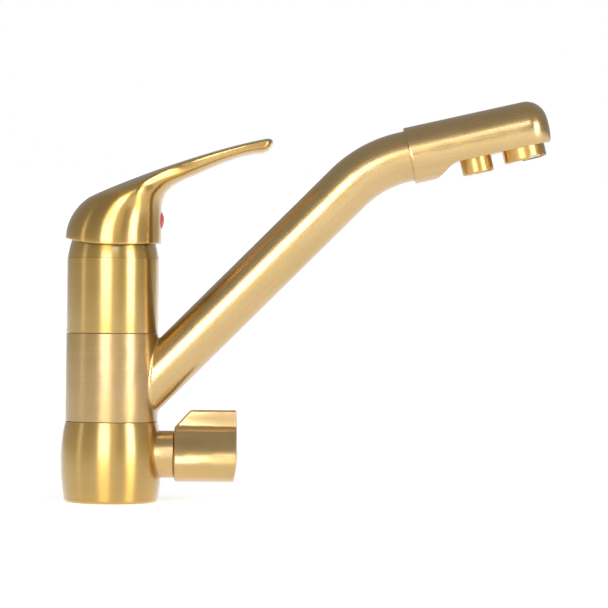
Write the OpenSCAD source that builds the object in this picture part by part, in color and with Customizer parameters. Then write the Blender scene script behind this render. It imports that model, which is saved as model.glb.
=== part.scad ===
// Three-way kitchen mixer tap in brushed brass, in millimetres.
// One lever mixes hot and cold, and a side valve feeds filtered water through
// its own tube inside the swivelling spout, to its own outlet.
// The deck face is z = 0, the body stands on the z axis, and the spout and the
// lever both point along +x.

/* [Base] */
// Height of the bulged base, deck to seam
base_h = 41.9; // [40:0.1:50]
// Diameter of the base where it meets the deck
base_foot_d = 48.2; // [48:0.1:51]
// Diameter of the base at its widest
base_bulge_d = 52.6; // [51:0.1:56]
// Height of the widest place above the deck
base_bulge_z = 22; // [16:0.5:28]
// Diameter of the base at the seam
base_top_d = 48.4; // [47:0.1:52]
// Radius of the rounded foot edge
foot_round = 2; // [0.5:0.1:2.5]
// Thickness of the deck gasket
gasket_t = 2; // [1:0.1:3]
// Width of the deck gasket ring
gasket_w = 3.4; // [2:0.1:4.2]

/* [Body] */
// Height of the ring that carries the spout
collar_h = 45.8; // [45:0.1:56]
// Diameter of the ring that carries the spout
collar_d = 48; // [46:0.1:51]
// Height of the fixed upper body
upper_h = 39; // [38:0.1:48]
// Diameter of the fixed upper body
upper_d = 47.8; // [47:0.1:50]
// Open seam between the stacked rings
seam = 0.2; // [0.1:0.05:0.5]
// Small chamfer on the ring edges
edge_break = 0.4; // [0.1:0.1:0.8]
// Diameter of the fixed column inside the spout ring
column_d = 37; // [36:0.1:38]
// Diameter of the screwed spigot on top of the column
spigot_d = 30; // [28:0.1:31]
// Height of the screwed spigot
spigot_h = 8; // [5:0.1:10]
// Thickness of the nylon slip rings
slip_t = 1.2; // [0.8:0.1:2]
// Section diameter of the column sealing rings
o_ring_d = 2.2; // [1.6:0.1:2.4]

/* [Water ways] */
// Radius of the circle that the hot and cold ways stand on
water_r = 8.5; // [8.4:0.1:9]
// Angle of the hot and cold ways from the front
water_angle = 55; // [52:1:60]
// Diameter of the hot and cold ways
water_d = 4.5; // [3.5:0.1:4.6]
// Distance of the mixed water way behind the axis
mixed_back = 6.5; // [6:0.1:7]
// Diameter of the mixed water way
mixed_d = 6; // [5:0.1:6.4]
// Core diameter of the threaded hose inlets
inlet_d = 9; // [8:0.1:9.2]
// Depth of the threaded hose inlets
inlet_depth = 12; // [8:0.5:14]
// Distance of the filtered water inlet behind the axis
filtered_back = 9; // [8.8:0.1:10]
// Diameter of the filtered water ways
filtered_way_d = 4; // [3:0.1:4.2]
// Core diameter of the fixing stud hole
stud_d = 6.8; // [5:0.1:7]
// Depth of the fixing stud hole
stud_depth = 14; // [10:0.5:16]
// Distance of the stud behind the axis
stud_back = 4.6; // [4:0.1:5]
// Distance of the stud to the cold side
stud_side = 11.4; // [11:0.1:12]

/* [Spout] */
// Outer diameter of the spout tube
spout_d = 26.5; // [25:0.1:28]
// Wall of the spout tube
spout_wall = 1.5; // [1:0.1:2]
// Rise of the spout tube above level
spout_angle = 45.2; // [43:0.2:47]
// Height above the ring's foot where the tube axis meets the body axis
spout_root_up = -0.1; // [-0.3:0.1:1.6]
// Length of the tube axis from the body axis to the bend's corner
spout_len = 190.9; // [170:0.1:220]
// Radius of the bend
bend_r = 60; // [45:1:80]
// Rise of the outlet head above level
head_angle = 13; // [6:0.5:18]
// Straight length of the tube between the bend and the outlet head
bend_to_head = 2.5; // [1:0.1:12]
// Outer diameter of the filtered water tube
inner_tube_d = 7; // [5:0.1:7.4]
// Wall of the filtered water tube
inner_tube_wall = 1; // [0.6:0.1:1.4]
// Distance of the filtered water tube below the spout axis
inner_tube_off = 4.5; // [4:0.1:5]

/* [Outlet head] */
// Diameter of the outlet head
head_d = 29.8; // [28.8:0.1:31]
// Length of the outlet head
head_len = 74.3; // [70:0.1:82]
// Radius of the rounded nose
nose_round = 10.8; // [9:0.1:13]
// Distance from the head's axis to its flat underside
head_flat = 8.5; // [8.3:0.1:9.5]
// Length at which the underside starts to rise
relief_start = 10; // [8:0.5:12]
// Length at which the underside is flat
relief_end = 24; // [20:0.5:25]
// Depth of the socket that takes the spout tube
socket_depth = 10; // [8:0.5:11]
// Distance of the small filtered outlet from the head's open end
filtered_at = 33.5; // [32.6:0.1:36]
// Diameter of the filtered outlet
filtered_d = 16.5; // [15:0.1:17.4]
// Height of the filtered outlet below the flat
filtered_h = 8; // [6:0.1:9]
// Distance of the large mixed outlet from the nose
mixed_from_nose = 15.3; // [15:0.1:20]
// Diameter of the mixed outlet
mixed_outlet_d = 22.4; // [21:0.1:23.4]
// Height of the mixed outlet below the flat
mixed_outlet_h = 6.6; // [5:0.1:8]
// Radius of the rounded lower edge of the outlets
rim_round = 1; // [0.4:0.1:1.6]
// Depth of the spanner slots in the outlets
slot_depth = 1.6; // [0.8:0.1:2]
// Width of each spanner slot round the rim, in degrees
slot_width = 54; // [30:1:60]
// Height of the perforated inserts
insert_h = 5; // [3:0.1:6]
// Diameter of the holes in the perforated inserts
spray_hole_d = 1.9; // [1.2:0.1:2]

/* [Cartridge] */
// Diameter of the ceramic cartridge
cartridge_d = 35; // [34.6:0.1:35.4]
// Height of the lever pivot above the upper body
pivot_rise = 2.9; // [2.6:0.1:3.4]
// Depth of the stem's ball below the pivot
stem_drop = 13; // [12.4:0.1:13.4]
// Width of the square stem
stem_w = 8; // [7:0.1:8.4]
// Height of the stem above the pivot
stem_up = 25.3; // [23:0.1:26.5]
// Radius of the stem's ball
ball_r = 2.4; // [1.9:0.1:2.6]
// Diameter of the pin that the lever pivots on
pin_d = 3; // [2:0.1:3.6]
// Thickness of each ceramic disc
disc_t = 3; // [2.4:0.1:3.4]
// Thickness of the cartridge's foot
foot_t = 4; // [3:0.1:5]
// Diameter of the ceramic disc that slides
moving_disc_d = 22.4; // [21.6:0.1:22.8]
// Diameter of the rotor hub
hub_d = 20; // [19:0.1:21]
// Outer diameter of the retaining nut
nut_d = 39.7; // [38:0.1:40.4]
// Thickness of the sealing washers
washer_t = 1.2; // [0.8:0.1:1.6]

/* [Lever] */
// How much smaller the lever's hollow is in radius than the upper body
hollow_inset = 0.2; // [0.2:0.1:1]
// Wall of the dome
dome_wall = 1.7; // [1.2:0.1:2.2]
// Height of the dome's open rim above the pivot
dome_rim_up = 13.4; // [11:0.1:13.6]
// Gap between the dome and the lever's hollow
lever_gap = 1.2; // [0.8:0.1:2]
// Wall of the lever's skirt
skirt_wall = 1.3; // [1:0.1:2.5]
// Height of the skirt's front edge above the pivot
skirt_front_up = 4.8; // [4:0.1:6]
// Height of the skirt's rear edge above the pivot
skirt_rear_up = 7.2; // [7:0.1:9]
// Dip of the skirt's lower edge at its sides
foot_sag = 2.1; // [0:0.1:2.4]
// Height of the rear shoulder above the skirt's rear edge
shoulder_up = 22.2; // [21:0.1:24]
// Reach of the blade's tip from the axis
lever_reach = 82.4; // [75:0.1:100]
// Height of the blade's tip above the pivot
lever_rise = 60.1; // [58:0.1:68]
// Thickness of the blade at its tip
tip_t = 7.6; // [6:0.1:9]
// Length of the blade's rounded end
tip_len = 4.3; // [3:0.1:5]
// Width of the blade near its tip
blade_w = 21.6; // [18:0.1:26]
// Width of the blade at its narrowest
blade_neck_w = 19.6; // [16:0.1:24]
// Reach of the curve from the skirt's front to the underside of the blade
throat_reach = 15.8; // [14:0.1:18]
// Rise of the curve from the skirt's front to the underside of the blade
throat_rise = 17.6; // [16:0.1:18.6]
// Diameter of the boss that takes the stem
boss_d = 16; // [14:0.1:17]
// Height of the boss's lower end above the pivot
boss_up = 8; // [7.8:0.1:9]
// Diameter of the hot and cold index button
index_d = 9; // [7:0.1:10]
// Height of the index button above the pivot
index_up = 17; // [16.6:0.1:19]
// How far the index button stands proud of the skirt
index_proud = 1.25; // [0.6:0.05:1.6]
// Diameter of the lever's grub screw
lever_screw_d = 5; // [4:0.1:6]

/* [Filter valve] */
// Height of the valve axis above the deck
valve_z = 25.1; // [24:0.1:26]
// Diameter of the round neck
neck_d = 24.6; // [22:0.1:25]
// Distance of the knob's inner face from the body axis
knob_x = 33; // [32.4:0.1:38]
// Length of the knob
knob_len = 32.6; // [26:0.1:38]
// Diameter of the round part of the knob
knob_d = 28.4; // [26:0.1:29]
// Height of the wing above the valve axis
wing_up = 23.2; // [20:0.1:24]
// Thickness of the wing's foot
wing_t = 9; // [6:0.1:12]
// How much thicker each side of the wing is at its top
wing_flare = 0.8; // [0:0.1:1.5]
// Height of the hollow where the shoulder meets the wing
wing_hollow = 4; // [3:0.1:5]
// Height of the shoulder's top above the valve's axis
shoulder_top = 12; // [10:0.1:13]
// How far the shoulder's top stands out past the wing's foot
shoulder_out = 2.5; // [1.5:0.1:4]
// Drop from the valve's axis to the knob's widest level
knob_wide_down = 4; // [0:0.1:6]
// Height of the wing's inner edge where its slope starts
wing_slope_up = 14.2; // [9:0.1:16]
// Length of the wing's slope
wing_slope_len = 8.3; // [3:0.1:12]
// Diameter of the valve spindle
spindle_d = 8; // [7:0.1:9]
// Length of the spindle inside the knob
spindle_in_knob = 16; // [14:0.5:22]
// Diameter of the knob's grub screw
knob_screw_d = 4; // [3:0.1:5]

/* [Clearances] */
// Radial clearance of parts that turn on each other
run_fit = 0.05; // [0.02:0.01:0.08]
// Radial clearance of parts that are fixed in each other
seat_fit = 0.05; // [0.02:0.01:0.1]
// End clearance of parts that slide over each other
slide_gap = 0.1; // [0.05:0.01:0.2]

/* [Hidden] */
$fn = 96;

// Colours of the finishes
brass = "#c9a666";
raw_brass = "#b5924f";
steel = "#b9bcc0";
rubber = "#26282b";
nylon = "#e9e6dc";
ceramic = "#f3f1ea";

// Overshoot of a cut past the face that it opens
cut = 1;

// Heights of the stacked rings
collar_z = base_h + seam;
collar_top = collar_z + collar_h;
upper_z = collar_top + seam;
upper_top = upper_z + upper_h;
pivot_z = upper_top + pivot_rise;
column_r = column_d / 2;
collar_bore_r = column_r + run_fit;
spigot_top = upper_z + spigot_h;

// Slip rings stand proud of their recess and leave an end clearance
slip_in_r = column_r + slide_gap;
slip_out_r = min(base_top_d, collar_d, upper_d) / 2 - edge_break - 1.8;
slip_end_gap = seam / 4;
slip_low_z = collar_z - slip_end_gap - slip_t;
slip_high_z = collar_top + slip_end_gap;

// Cartridge stack, downwards from the ball
ball_z = pivot_z - stem_drop;
carrier_below = 3;
carrier_above = 1;
carrier_z = ball_z - carrier_below;
carrier_top = ball_z + carrier_above;
moving_disc_z = carrier_z - disc_t;
fixed_disc_z = moving_disc_z - disc_t;
seat_z = fixed_disc_z - foot_t;
cartridge_r = cartridge_d / 2;
case_wall = 2;
flange_z = carrier_top + 0.3;
flange_t = 2.2;
flange_r = cartridge_r - 4.1;
case_step_z = flange_z + flange_t - 0.5;
case_top = case_step_z + 3;
case_neck_r = cartridge_r - 2.5;
hub_r = hub_d / 2;
hub_top = pivot_z + 4;
nut_top = pivot_z + 1;
nut_r = nut_d / 2;
fixed_disc_r = 14;
moving_disc_r = moving_disc_d / 2;
moving_disc_x = -0.7;
pocket_front = 3;
pocket_wall = 1.4;
pocket_depth = 1.5;
socket_r = ball_r + slide_gap;
neck_r = ball_r * 0.75;
square_down = 6;
flange_slot_half = 7;

// Lever hollow and dome, both round the pivot. The dome's foot lies below the hollow's reach
hollow_sphere_r = upper_d / 2 - hollow_inset;
dome_r = hollow_sphere_r - lever_gap;
dome_foot_r = hollow_sphere_r + 0.1;
dome_turn_up = 7;
skirt_r = hollow_sphere_r + skirt_wall;

// Spout axis in the x and z plane
spout_r = spout_d / 2;
spout_bore_r = spout_r - spout_wall;
spout_z = collar_z + spout_root_up;
spout_dir = [cos(spout_angle), sin(spout_angle)];
spout_down = [sin(spout_angle), -cos(spout_angle)];
head_dir = [cos(head_angle), sin(head_angle)];
bend_angle = spout_angle - head_angle;
bend_tangent = bend_r * tan(bend_angle / 2);
bend_start = [0, spout_z] + spout_dir * (spout_len - bend_tangent);
bend_centre = bend_start + spout_down * bend_r;
bend_corner = [0, spout_z] + spout_dir * spout_len;
head_start = bend_corner + head_dir * (bend_tangent + bend_to_head);

// The straight rods lap into the bend, which is a hair thicker than they are
bend_lap = 1;
bend_extra = 0.05;

// Tube end and water chambers in the collar
web_t = 2;
tube_seat_r = collar_bore_r + web_t;
chamber_depth = 4;
chamber_r = column_r - chamber_depth;
filtered_z = spout_z + column_r * tan(spout_angle) - inner_tube_off / cos(spout_angle);
filtered_half = 3;
mixed_z = spout_z + column_r * tan(spout_angle) + 9.8;
mixed_half = 4.5;
port_d = 8;
inner_hole_half = (inner_tube_d / 2 + seat_fit) / cos(spout_angle);
ring_levels = [
    filtered_z - inner_hole_half - o_ring_d / 2 - 1.6,
    filtered_z + inner_hole_half + o_ring_d / 2 + 0.8,
    mixed_z + mixed_half + o_ring_d / 2 + 3
];
groove_w = o_ring_d + 2 * slide_gap;

// Spigot of the spout tube in the head
spigot_wall = spout_wall - 0.5;
tube_spigot_r = spout_bore_r + spigot_wall;
head_r = head_d / 2;
mixed_at = head_len - mixed_from_nose;
head_seal_d = 1;
head_inner_end = socket_depth + 5;
mixed_way_r = 5;
mixed_way_up = 6.5;
filtered_way_up = -inner_tube_off;

// Outlets: screwed neck, washer seat and insert
outlet_thread_wall = 1.05;
outlet_thread_h = 4;
outlet_rim_wall = 2.5;
outlet_lip_h = 1;
insert_recess = 0.6;
chamber_wall = 2.2;

// Valve stack along the x axis
valve_seat_x = 9.5;
valve_seal_t = 1.7;
valve_disc_t = 2;
valve_disc_r = 6.3;
valve_bore_r = 8.35;
headwork_r = valve_bore_r - seat_fit;
valve_cup_r = valve_disc_r + 0.2;
valve_fixed_x = valve_seat_x + valve_seal_t;
valve_moving_x = valve_fixed_x + valve_disc_t;
spindle_flange_x = valve_moving_x + valve_disc_t;
spindle_flange_t = 2;
headwork_step_x = spindle_flange_x + spindle_flange_t + slide_gap;
neck_r_outer = neck_d / 2;
neck_inner_r = neck_r_outer - 2.6;
neck_seat_x = 21.5;
neck_end_x = knob_x - 0.3;
neck_face_t = 2.4;
headwork_end_x = neck_end_x - neck_face_t - 0.2;
headwork_flange_end_x = neck_seat_x + 5.5;
spindle_r = spindle_d / 2;
spindle_end_x = knob_x + spindle_in_knob;
spindle_ring_d = 1.8;
spindle_ring_x = neck_seat_x + 4;
valve_exit_x = spindle_flange_x - 0.7;
knob_r = knob_d / 2;
knob_end_x = knob_x + knob_len;
knob_screw_x = knob_x + 10;
knob_screw_len = knob_r - spindle_r - 2;

// Helpers

// Point at t on the cubic curve with control points p
function bezier(p, t) =
    pow(1 - t, 3) * p[0] + 3 * t * pow(1 - t, 2) * p[1]
    + 3 * t * t * (1 - t) * p[2] + t * t * t * p[3];

// Smooth step from 0 to 1
function ease(t) = t * t * (3 - 2 * t);

// Value between a and b
function mix(a, b, t) = a + (b - a) * t;

// Points of an arc round c, from angle a to angle b, in n steps
function arc(c, r, a, b, n) = [
    for (i = [0:n]) c + r * [cos(mix(a, b, i / n)), sin(mix(a, b, i / n))]
];

// Hot, cold and mixed ways as [x, y, diameter]
function water_ways() = [
    [water_r * cos(water_angle), -water_r * sin(water_angle), water_d],
    [water_r * cos(water_angle), water_r * sin(water_angle), water_d],
    [-mixed_back, 0, mixed_d]
];

// Plain ring standing on z
module ring(r_in, r_out, z, h) {
    translate([0, 0, z])
        difference() {
            cylinder(r = r_out, h = h);
            translate([0, 0, -cut])
                cylinder(r = r_in, h = h + 2 * cut);
        }
}

// Round ring of section diameter d, its outer side at radius r
module o_ring(r, d, z) {
    translate([0, 0, z])
        rotate_extrude()
            translate([r - d / 2, 0])
                circle(d = d, $fn = 32);
}

// Turned ring with broken edges
module turned_ring(r_in, r_out, z, h) {
    rotate_extrude()
        polygon([
            [r_in, z], [r_out - edge_break, z], [r_out, z + edge_break],
            [r_out, z + h - edge_break], [r_out - edge_break, z + h], [r_in, z + h]
        ]);
}

// The three water ways as drills from z upwards
module way_drills(z, h) {
    for (w = water_ways())
        translate([w[0], w[1], z])
            cylinder(d = w[2], h = h);
}

// Recesses or washers round the three ways
module way_washers(z, h, grow, bore) {
    for (w = water_ways())
        translate([w[0], w[1], z])
            difference() {
                cylinder(d = w[2] + 3 + 2 * grow, h = h);
                if (bore)
                    translate([0, 0, -cut])
                        cylinder(d = w[2], h = h + 2 * cut);
            }
}

// Children turned so that z runs along the valve axis
module along_valve(x) {
    translate([x, 0, valve_z])
        rotate([0, 90, 0])
            children();
}

// Children placed with x along the head and z out of its top
module on_head() {
    translate([head_start[0], 0, head_start[1]])
        rotate([0, -head_angle, 0])
            children();
}

// Round rod of radius r along the spout axis, off below it, from a into the bend
module spout_rod(r, off, a) {
    start = [0, spout_z] + spout_dir * a + spout_down * off;
    translate([start[0], 0, start[1]])
        rotate([0, 90 - spout_angle, 0])
            cylinder(r = r, h = spout_len - bend_tangent - a + bend_lap);
}

// Round rod of radius r round the bend, off below the axis
module bend_rod(r, off) {
    translate([bend_centre[0], 0, bend_centre[1]])
        rotate([90, 0, 0])
            rotate([0, 0, head_angle + 90])
                rotate_extrude(angle = bend_angle)
                    translate([bend_r - off, 0])
                        circle(r = r + bend_extra);
}

// Round rod of radius r along the head axis, off below it, from the bend
module head_rod(r, off, past) {
    on_head()
        translate([-bend_to_head - bend_lap, 0, -off])
            rotate([0, 90, 0])
                cylinder(r = r, h = bend_lap + bend_to_head + past);
}

// Base and column

// Radius of the base's outside at height z
function base_r(z) =
    z < base_bulge_z
        ? base_bulge_d / 2 - (base_bulge_d - base_foot_d) / 2
            * pow((base_bulge_z - z) / base_bulge_z, 2)
        : base_bulge_d / 2 - (base_bulge_d - base_top_d) / 2
            * pow((z - base_bulge_z) / (base_h - base_bulge_z), 2);

module base_outside() {
    steps = 14;
    foot_centre = [base_r(foot_round) - foot_round, foot_round];
    rotate_extrude()
        polygon(concat(
            [[0, 0]],
            arc(foot_centre, foot_round, -90, 0, 5),
            [
                for (i = [1:steps])
                    let (z = mix(foot_round, base_h - edge_break, i / steps))
                        [base_r(z), z]
            ],
            [[base_r(base_h) - edge_break, base_h], [0, base_h]]
        ));
}

module column_groove(z, half, depth) {
    ring(column_r - depth, column_r + cut, z - half, 2 * half);
}

gasket_out_r = base_foot_d / 2 - foot_round - 0.6;
gasket_in_r = gasket_out_r - gasket_w;

module base_body() {
    color(brass)
        difference() {
            union() {
                base_outside();
                cylinder(r = column_r, h = upper_z);
                cylinder(d = spigot_d, h = spigot_top);
            }
            // Groove for the gasket and recess for the lower slip ring
            ring(gasket_in_r - seat_fit, gasket_out_r + seat_fit, -cut, gasket_t + cut);
            ring(slip_in_r - slide_gap, slip_out_r + seat_fit, slip_low_z, slip_t + cut);
            // Hot and cold ways with their hose inlets
            for (i = [0, 1]) {
                translate([water_ways()[i][0], water_ways()[i][1], -cut]) {
                    cylinder(d = inlet_d, h = inlet_depth + cut);
                    cylinder(d = water_d, h = spigot_top + 2 * cut);
                }
            }
            // Mixed water comes down behind the axis to its chamber
            translate([-mixed_back, 0, mixed_z])
                cylinder(d = mixed_d, h = spigot_top - mixed_z + cut);
            translate([-mixed_back, 0, mixed_z])
                rotate([0, -90, 0])
                    cylinder(d = mixed_d, h = column_r);
            column_groove(mixed_z, mixed_half, chamber_depth);
            // Filtered water goes up to the valve seat and then to its chamber
            translate([-filtered_back, 0, -cut])
                cylinder(d = inlet_d, h = inlet_depth + cut);
            translate([-filtered_back, 0, 0])
                cylinder(d = filtered_way_d, h = valve_z);
            along_valve(-filtered_back)
                cylinder(d = filtered_way_d, h = filtered_back + valve_seat_x + cut);
            translate([valve_exit_x, 0, valve_z])
                cylinder(d = filtered_way_d, h = filtered_z - valve_z);
            column_groove(filtered_z, filtered_half, chamber_depth);
            // Stud hole
            translate([-stud_back, stud_side, -cut])
                cylinder(d = stud_d, h = stud_depth + cut);
            // Valve bore and neck seat
            along_valve(valve_seat_x)
                cylinder(r = valve_bore_r, h = base_bulge_d);
            along_valve(neck_seat_x)
                cylinder(r = neck_r_outer + seat_fit, h = base_bulge_d);
            // Grooves of the sealing rings
            for (z = ring_levels)
                column_groove(z, groove_w / 2, o_ring_d + slide_gap);
            // Seats of the passage washers
            way_washers(spigot_top - washer_t, washer_t + cut, seat_fit, false);
        }
}

module base_gasket() {
    color(rubber)
        ring(gasket_in_r, gasket_out_r, 0, gasket_t);
}

module lower_slip_ring() {
    color(nylon)
        ring(slip_in_r, slip_out_r, slip_low_z, slip_t);
}

module upper_slip_ring() {
    color(nylon)
        ring(slip_in_r, slip_out_r, slip_high_z, slip_t);
}

module column_o_rings() {
    color(rubber)
        for (z = ring_levels)
            o_ring(column_r, o_ring_d, z);
}

module passage_seals() {
    color(rubber)
        way_washers(spigot_top - washer_t, washer_t, 0, true);
}

module upper_body() {
    color(brass)
        difference() {
            turned_ring(0, upper_d / 2, upper_z, upper_h);
            // Screwed over the spigot, recessed for the upper slip ring
            translate([0, 0, upper_z - cut])
                cylinder(r = spigot_d / 2 + seat_fit, h = spigot_h + cut);
            ring(slip_in_r - slide_gap, slip_out_r + seat_fit, upper_z - cut,
                slip_high_z + slip_t - upper_z + cut);
            way_drills(spigot_top - cut, seat_z - spigot_top + 2 * cut);
            // Cartridge chamber and nut thread
            translate([0, 0, seat_z])
                cylinder(r = cartridge_r + seat_fit, h = upper_h);
            translate([0, 0, case_step_z])
                cylinder(r = nut_r + seat_fit, h = upper_h);
        }
}

// Cartridge

module cartridge_foot() {
    color(nylon)
        difference() {
            translate([0, 0, seat_z])
                cylinder(r = cartridge_r, h = foot_t);
            way_drills(seat_z - cut, foot_t + 2 * cut);
            way_washers(seat_z - cut, washer_t + cut, seat_fit, false);
        }
}

module cartridge_seals() {
    color(rubber)
        way_washers(seat_z, washer_t, 0, true);
}

module fixed_disc() {
    color(ceramic)
        difference() {
            translate([0, 0, fixed_disc_z])
                cylinder(r = fixed_disc_r, h = disc_t);
            way_drills(fixed_disc_z - cut, disc_t + 2 * cut);
        }
}

module moving_disc() {
    pocket_r = moving_disc_r - pocket_wall;
    color(ceramic)
        translate([moving_disc_x, 0, moving_disc_z])
            difference() {
                cylinder(r = moving_disc_r, h = disc_t);
                intersection() {
                    translate([0, 0, -cut])
                        cylinder(r = pocket_r, h = pocket_depth + cut);
                    translate([pocket_front - 2 * pocket_r, -pocket_r, -cut])
                        cube([2 * pocket_r, 2 * pocket_r, pocket_depth + cut]);
                }
            }
}

module disc_carrier() {
    color(nylon)
        difference() {
            translate([moving_disc_x, 0, carrier_z])
                cylinder(r = moving_disc_r, h = carrier_below + carrier_above);
            translate([0, 0, ball_z - ball_r - slide_gap])
                cylinder(r = socket_r, h = 2 * ball_r + cut);
        }
}

module cartridge_case() {
    inside_r = cartridge_r - case_wall;
    color(nylon)
        difference() {
            union() {
                translate([0, 0, fixed_disc_z])
                    cylinder(r = cartridge_r, h = case_step_z - fixed_disc_z);
                translate([0, 0, fixed_disc_z])
                    cylinder(r = case_neck_r, h = case_top - fixed_disc_z);
            }
            translate([0, 0, fixed_disc_z - cut])
                cylinder(r = inside_r, h = flange_z - slide_gap - fixed_disc_z + cut);
            translate([0, 0, fixed_disc_z])
                cylinder(r = flange_r + run_fit, h = flange_z + flange_t + slide_gap - fixed_disc_z);
            translate([0, 0, fixed_disc_z])
                cylinder(r = hub_r + run_fit, h = case_top - fixed_disc_z + cut);
        }
}

module cartridge_rotor() {
    slot_w = stem_w + 2 * slide_gap;
    color("#d8d4c8")
        difference() {
            union() {
                translate([0, 0, flange_z])
                    cylinder(r = flange_r, h = flange_t);
                translate([0, 0, flange_z])
                    cylinder(r = hub_r, h = hub_top - flange_z);
            }
            // The stem swings in a slot that is open to the front and rear
            translate([-hub_r - cut, -slot_w / 2, flange_z + flange_t])
                cube([2 * (hub_r + cut), slot_w, hub_top]);
            translate([-flange_slot_half, -socket_r, flange_z - cut])
                cube([2 * flange_slot_half, 2 * socket_r, flange_t + 2 * cut]);
            translate([0, hub_r + cut, pivot_z])
                rotate([90, 0, 0])
                    cylinder(d = pin_d, h = 2 * (hub_r + cut));
        }
}

module pivot_pin() {
    pin_half = hub_r - 0.5;
    color(steel)
        translate([0, pin_half, pivot_z])
            rotate([90, 0, 0])
                cylinder(d = pin_d, h = 2 * pin_half);
}

module cartridge_stem() {
    color(raw_brass)
        difference() {
            union() {
                translate([0, 0, ball_z])
                    sphere(r = ball_r);
                translate([0, 0, ball_z])
                    cylinder(r = neck_r, h = stem_drop - square_down + cut);
                translate([-stem_w / 2, -stem_w / 2, pivot_z - square_down])
                    cube([stem_w, stem_w, square_down + stem_up]);
            }
            translate([0, stem_w, pivot_z])
                rotate([90, 0, 0])
                    cylinder(r = pin_d / 2 + run_fit, h = 2 * stem_w);
        }
}

module retaining_nut() {
    notch_w = 4;
    notch_depth = 2.5;
    color(raw_brass)
        difference() {
            ring(case_neck_r + seat_fit, nut_r, case_step_z, nut_top - case_step_z);
            for (a = [0:90:270])
                rotate([0, 0, a + 45])
                    translate([0, -notch_w / 2, nut_top - notch_depth])
                        cube([nut_r + cut, notch_w, notch_depth + cut]);
        }
}

module dome_cap() {
    inner_r = dome_r - dome_wall;
    turn_angle = asin(dome_turn_up / dome_r);
    rim_angle = asin(dome_rim_up / dome_r);
    inner_rim_angle = asin(dome_rim_up / inner_r);
    thread_top_up = 0.6;
    thread_top_angle = asin(thread_top_up / inner_r);
    // The flank bellies out from the upper body's edge and runs into the ball form
    turn_r = dome_r * cos(turn_angle);
    flank_third = [0, (dome_turn_up + pivot_rise) / 3];
    flank_drop = dome_foot_r - turn_r;
    flank = [
        [dome_foot_r, -pivot_rise],
        [dome_foot_r - 0.18 * flank_drop, -pivot_rise] + flank_third,
        [turn_r + 0.45 * flank_drop, dome_turn_up] - flank_third,
        [turn_r, dome_turn_up]
    ];
    flank_steps = 8;
    color(brass)
        translate([0, 0, pivot_z])
            rotate_extrude()
                polygon(concat(
                    [[nut_r + seat_fit, -pivot_rise]],
                    [for (i = [0:flank_steps - 1]) bezier(flank, i / flank_steps)],
                    arc([0, 0], dome_r, turn_angle, rim_angle, 10),
                    arc([0, 0], inner_r, inner_rim_angle, thread_top_angle, 10),
                    [[nut_r + seat_fit, thread_top_up]]
                ));
}

// Lever

// Side outline of the lever, above the pivot: its rear and top, then its front
rear_shoulder = [
    [-skirt_r, skirt_rear_up],
    [-skirt_r, skirt_rear_up + 0.415 * shoulder_up],
    [-0.75 * skirt_r, skirt_rear_up + 0.84 * shoulder_up],
    [-0.457 * skirt_r, skirt_rear_up + shoulder_up]
];
tip_turn = 11;
tip_lean = 0.65;
tip_x = lever_reach - tip_len * cos(tip_turn);
tip_back = [tip_x + tip_lean, lever_rise];
tip_front = [tip_x - tip_lean, lever_rise - tip_t];
top_run = tip_back - rear_shoulder[3];
rear_to_tip = [
    rear_shoulder[3],
    rear_shoulder[3] + [0.218 * top_run[0], 0.31 * top_run[1]],
    tip_back - [0.313 * top_run[0], 0.182 * top_run[1]],
    tip_back
];
throat = [skirt_r + 0.1, index_up + index_d / 2 + 1.1];
throat_end = throat + [throat_reach, throat_rise];
front_foot = [skirt_r + 0.1, skirt_front_up];
front_wall = [front_foot, mix(front_foot, throat, 1 / 3), mix(front_foot, throat, 2 / 3), throat];
front_throat = [
    throat,
    throat + [0, 0.5625 * throat_rise],
    throat + [0.342 * throat_reach, 0.75 * throat_rise],
    throat_end
];
under_run = tip_front - throat_end;
front_blade = [
    throat_end,
    throat_end + [0.213 * under_run[0], 0.276 * under_run[1]],
    tip_front - [0.347 * under_run[0], 0.049 * under_run[1]],
    tip_front
];

// The outline is closed by sections that fan from the round skirt to the blade
skirt_rings = 7;
fan_rings = 12;
blade_rings = 8;
tip_rings = 4;
fan_share = 0.44;
section_points = 40;
crown_share = 0.2;
flank_share = 0.62;

// Section as [rear point, front point, half width, crown, flank, crease, dip]: the crown and
// the flank end at these shares of its depth, and its crease goes from 0, round, to 1
function skirt_section(t) = [
    bezier(rear_shoulder, t), bezier(front_wall, t),
    mix(skirt_r, 0.91 * skirt_r, ease(t)), 0.5, 0.5, 0, foot_sag * pow(1 - t, 2)
];
function fan_section(t) = [
    bezier(rear_to_tip, t * fan_share), bezier(front_throat, t),
    mix(0.91 * skirt_r, blade_neck_w / 2, ease(pow(t, 1.5))),
    mix(0.5, crown_share, pow(t, 1.6)),
    mix(0.5, flank_share, t),
    ease(min(1, 2.2 * t)), 0
];
function blade_section(t) = [
    bezier(rear_to_tip, mix(fan_share, 1, t)), bezier(front_blade, t),
    mix(blade_neck_w, blade_w, ease(t)) / 2 - 0.8 * pow(t, 6),
    crown_share, flank_share, 1, 0
];
function tip_section(t) =
    let (
        last = blade_section(1),
        middle = (last[0] + last[1]) / 2,
        out = [cos(tip_turn), sin(tip_turn)] * tip_len * sin(90 * t),
        shrink = cos(86 * t)
    ) [
        middle + out + (last[0] - middle) * pow(shrink, 0.6),
        middle + out + (last[1] - middle) * shrink,
        last[2] * pow(shrink, 0.45), crown_share, flank_share, 1 - t, 0
    ];

function lever_sections() = concat(
    [for (i = [0:skirt_rings]) skirt_section(i / skirt_rings)],
    [for (i = [1:fan_rings]) fan_section(i / fan_rings)],
    [for (i = [1:blade_rings]) blade_section(i / blade_rings)],
    [for (i = [1:tip_rings]) tip_section(i / tip_rings)]
);

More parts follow.
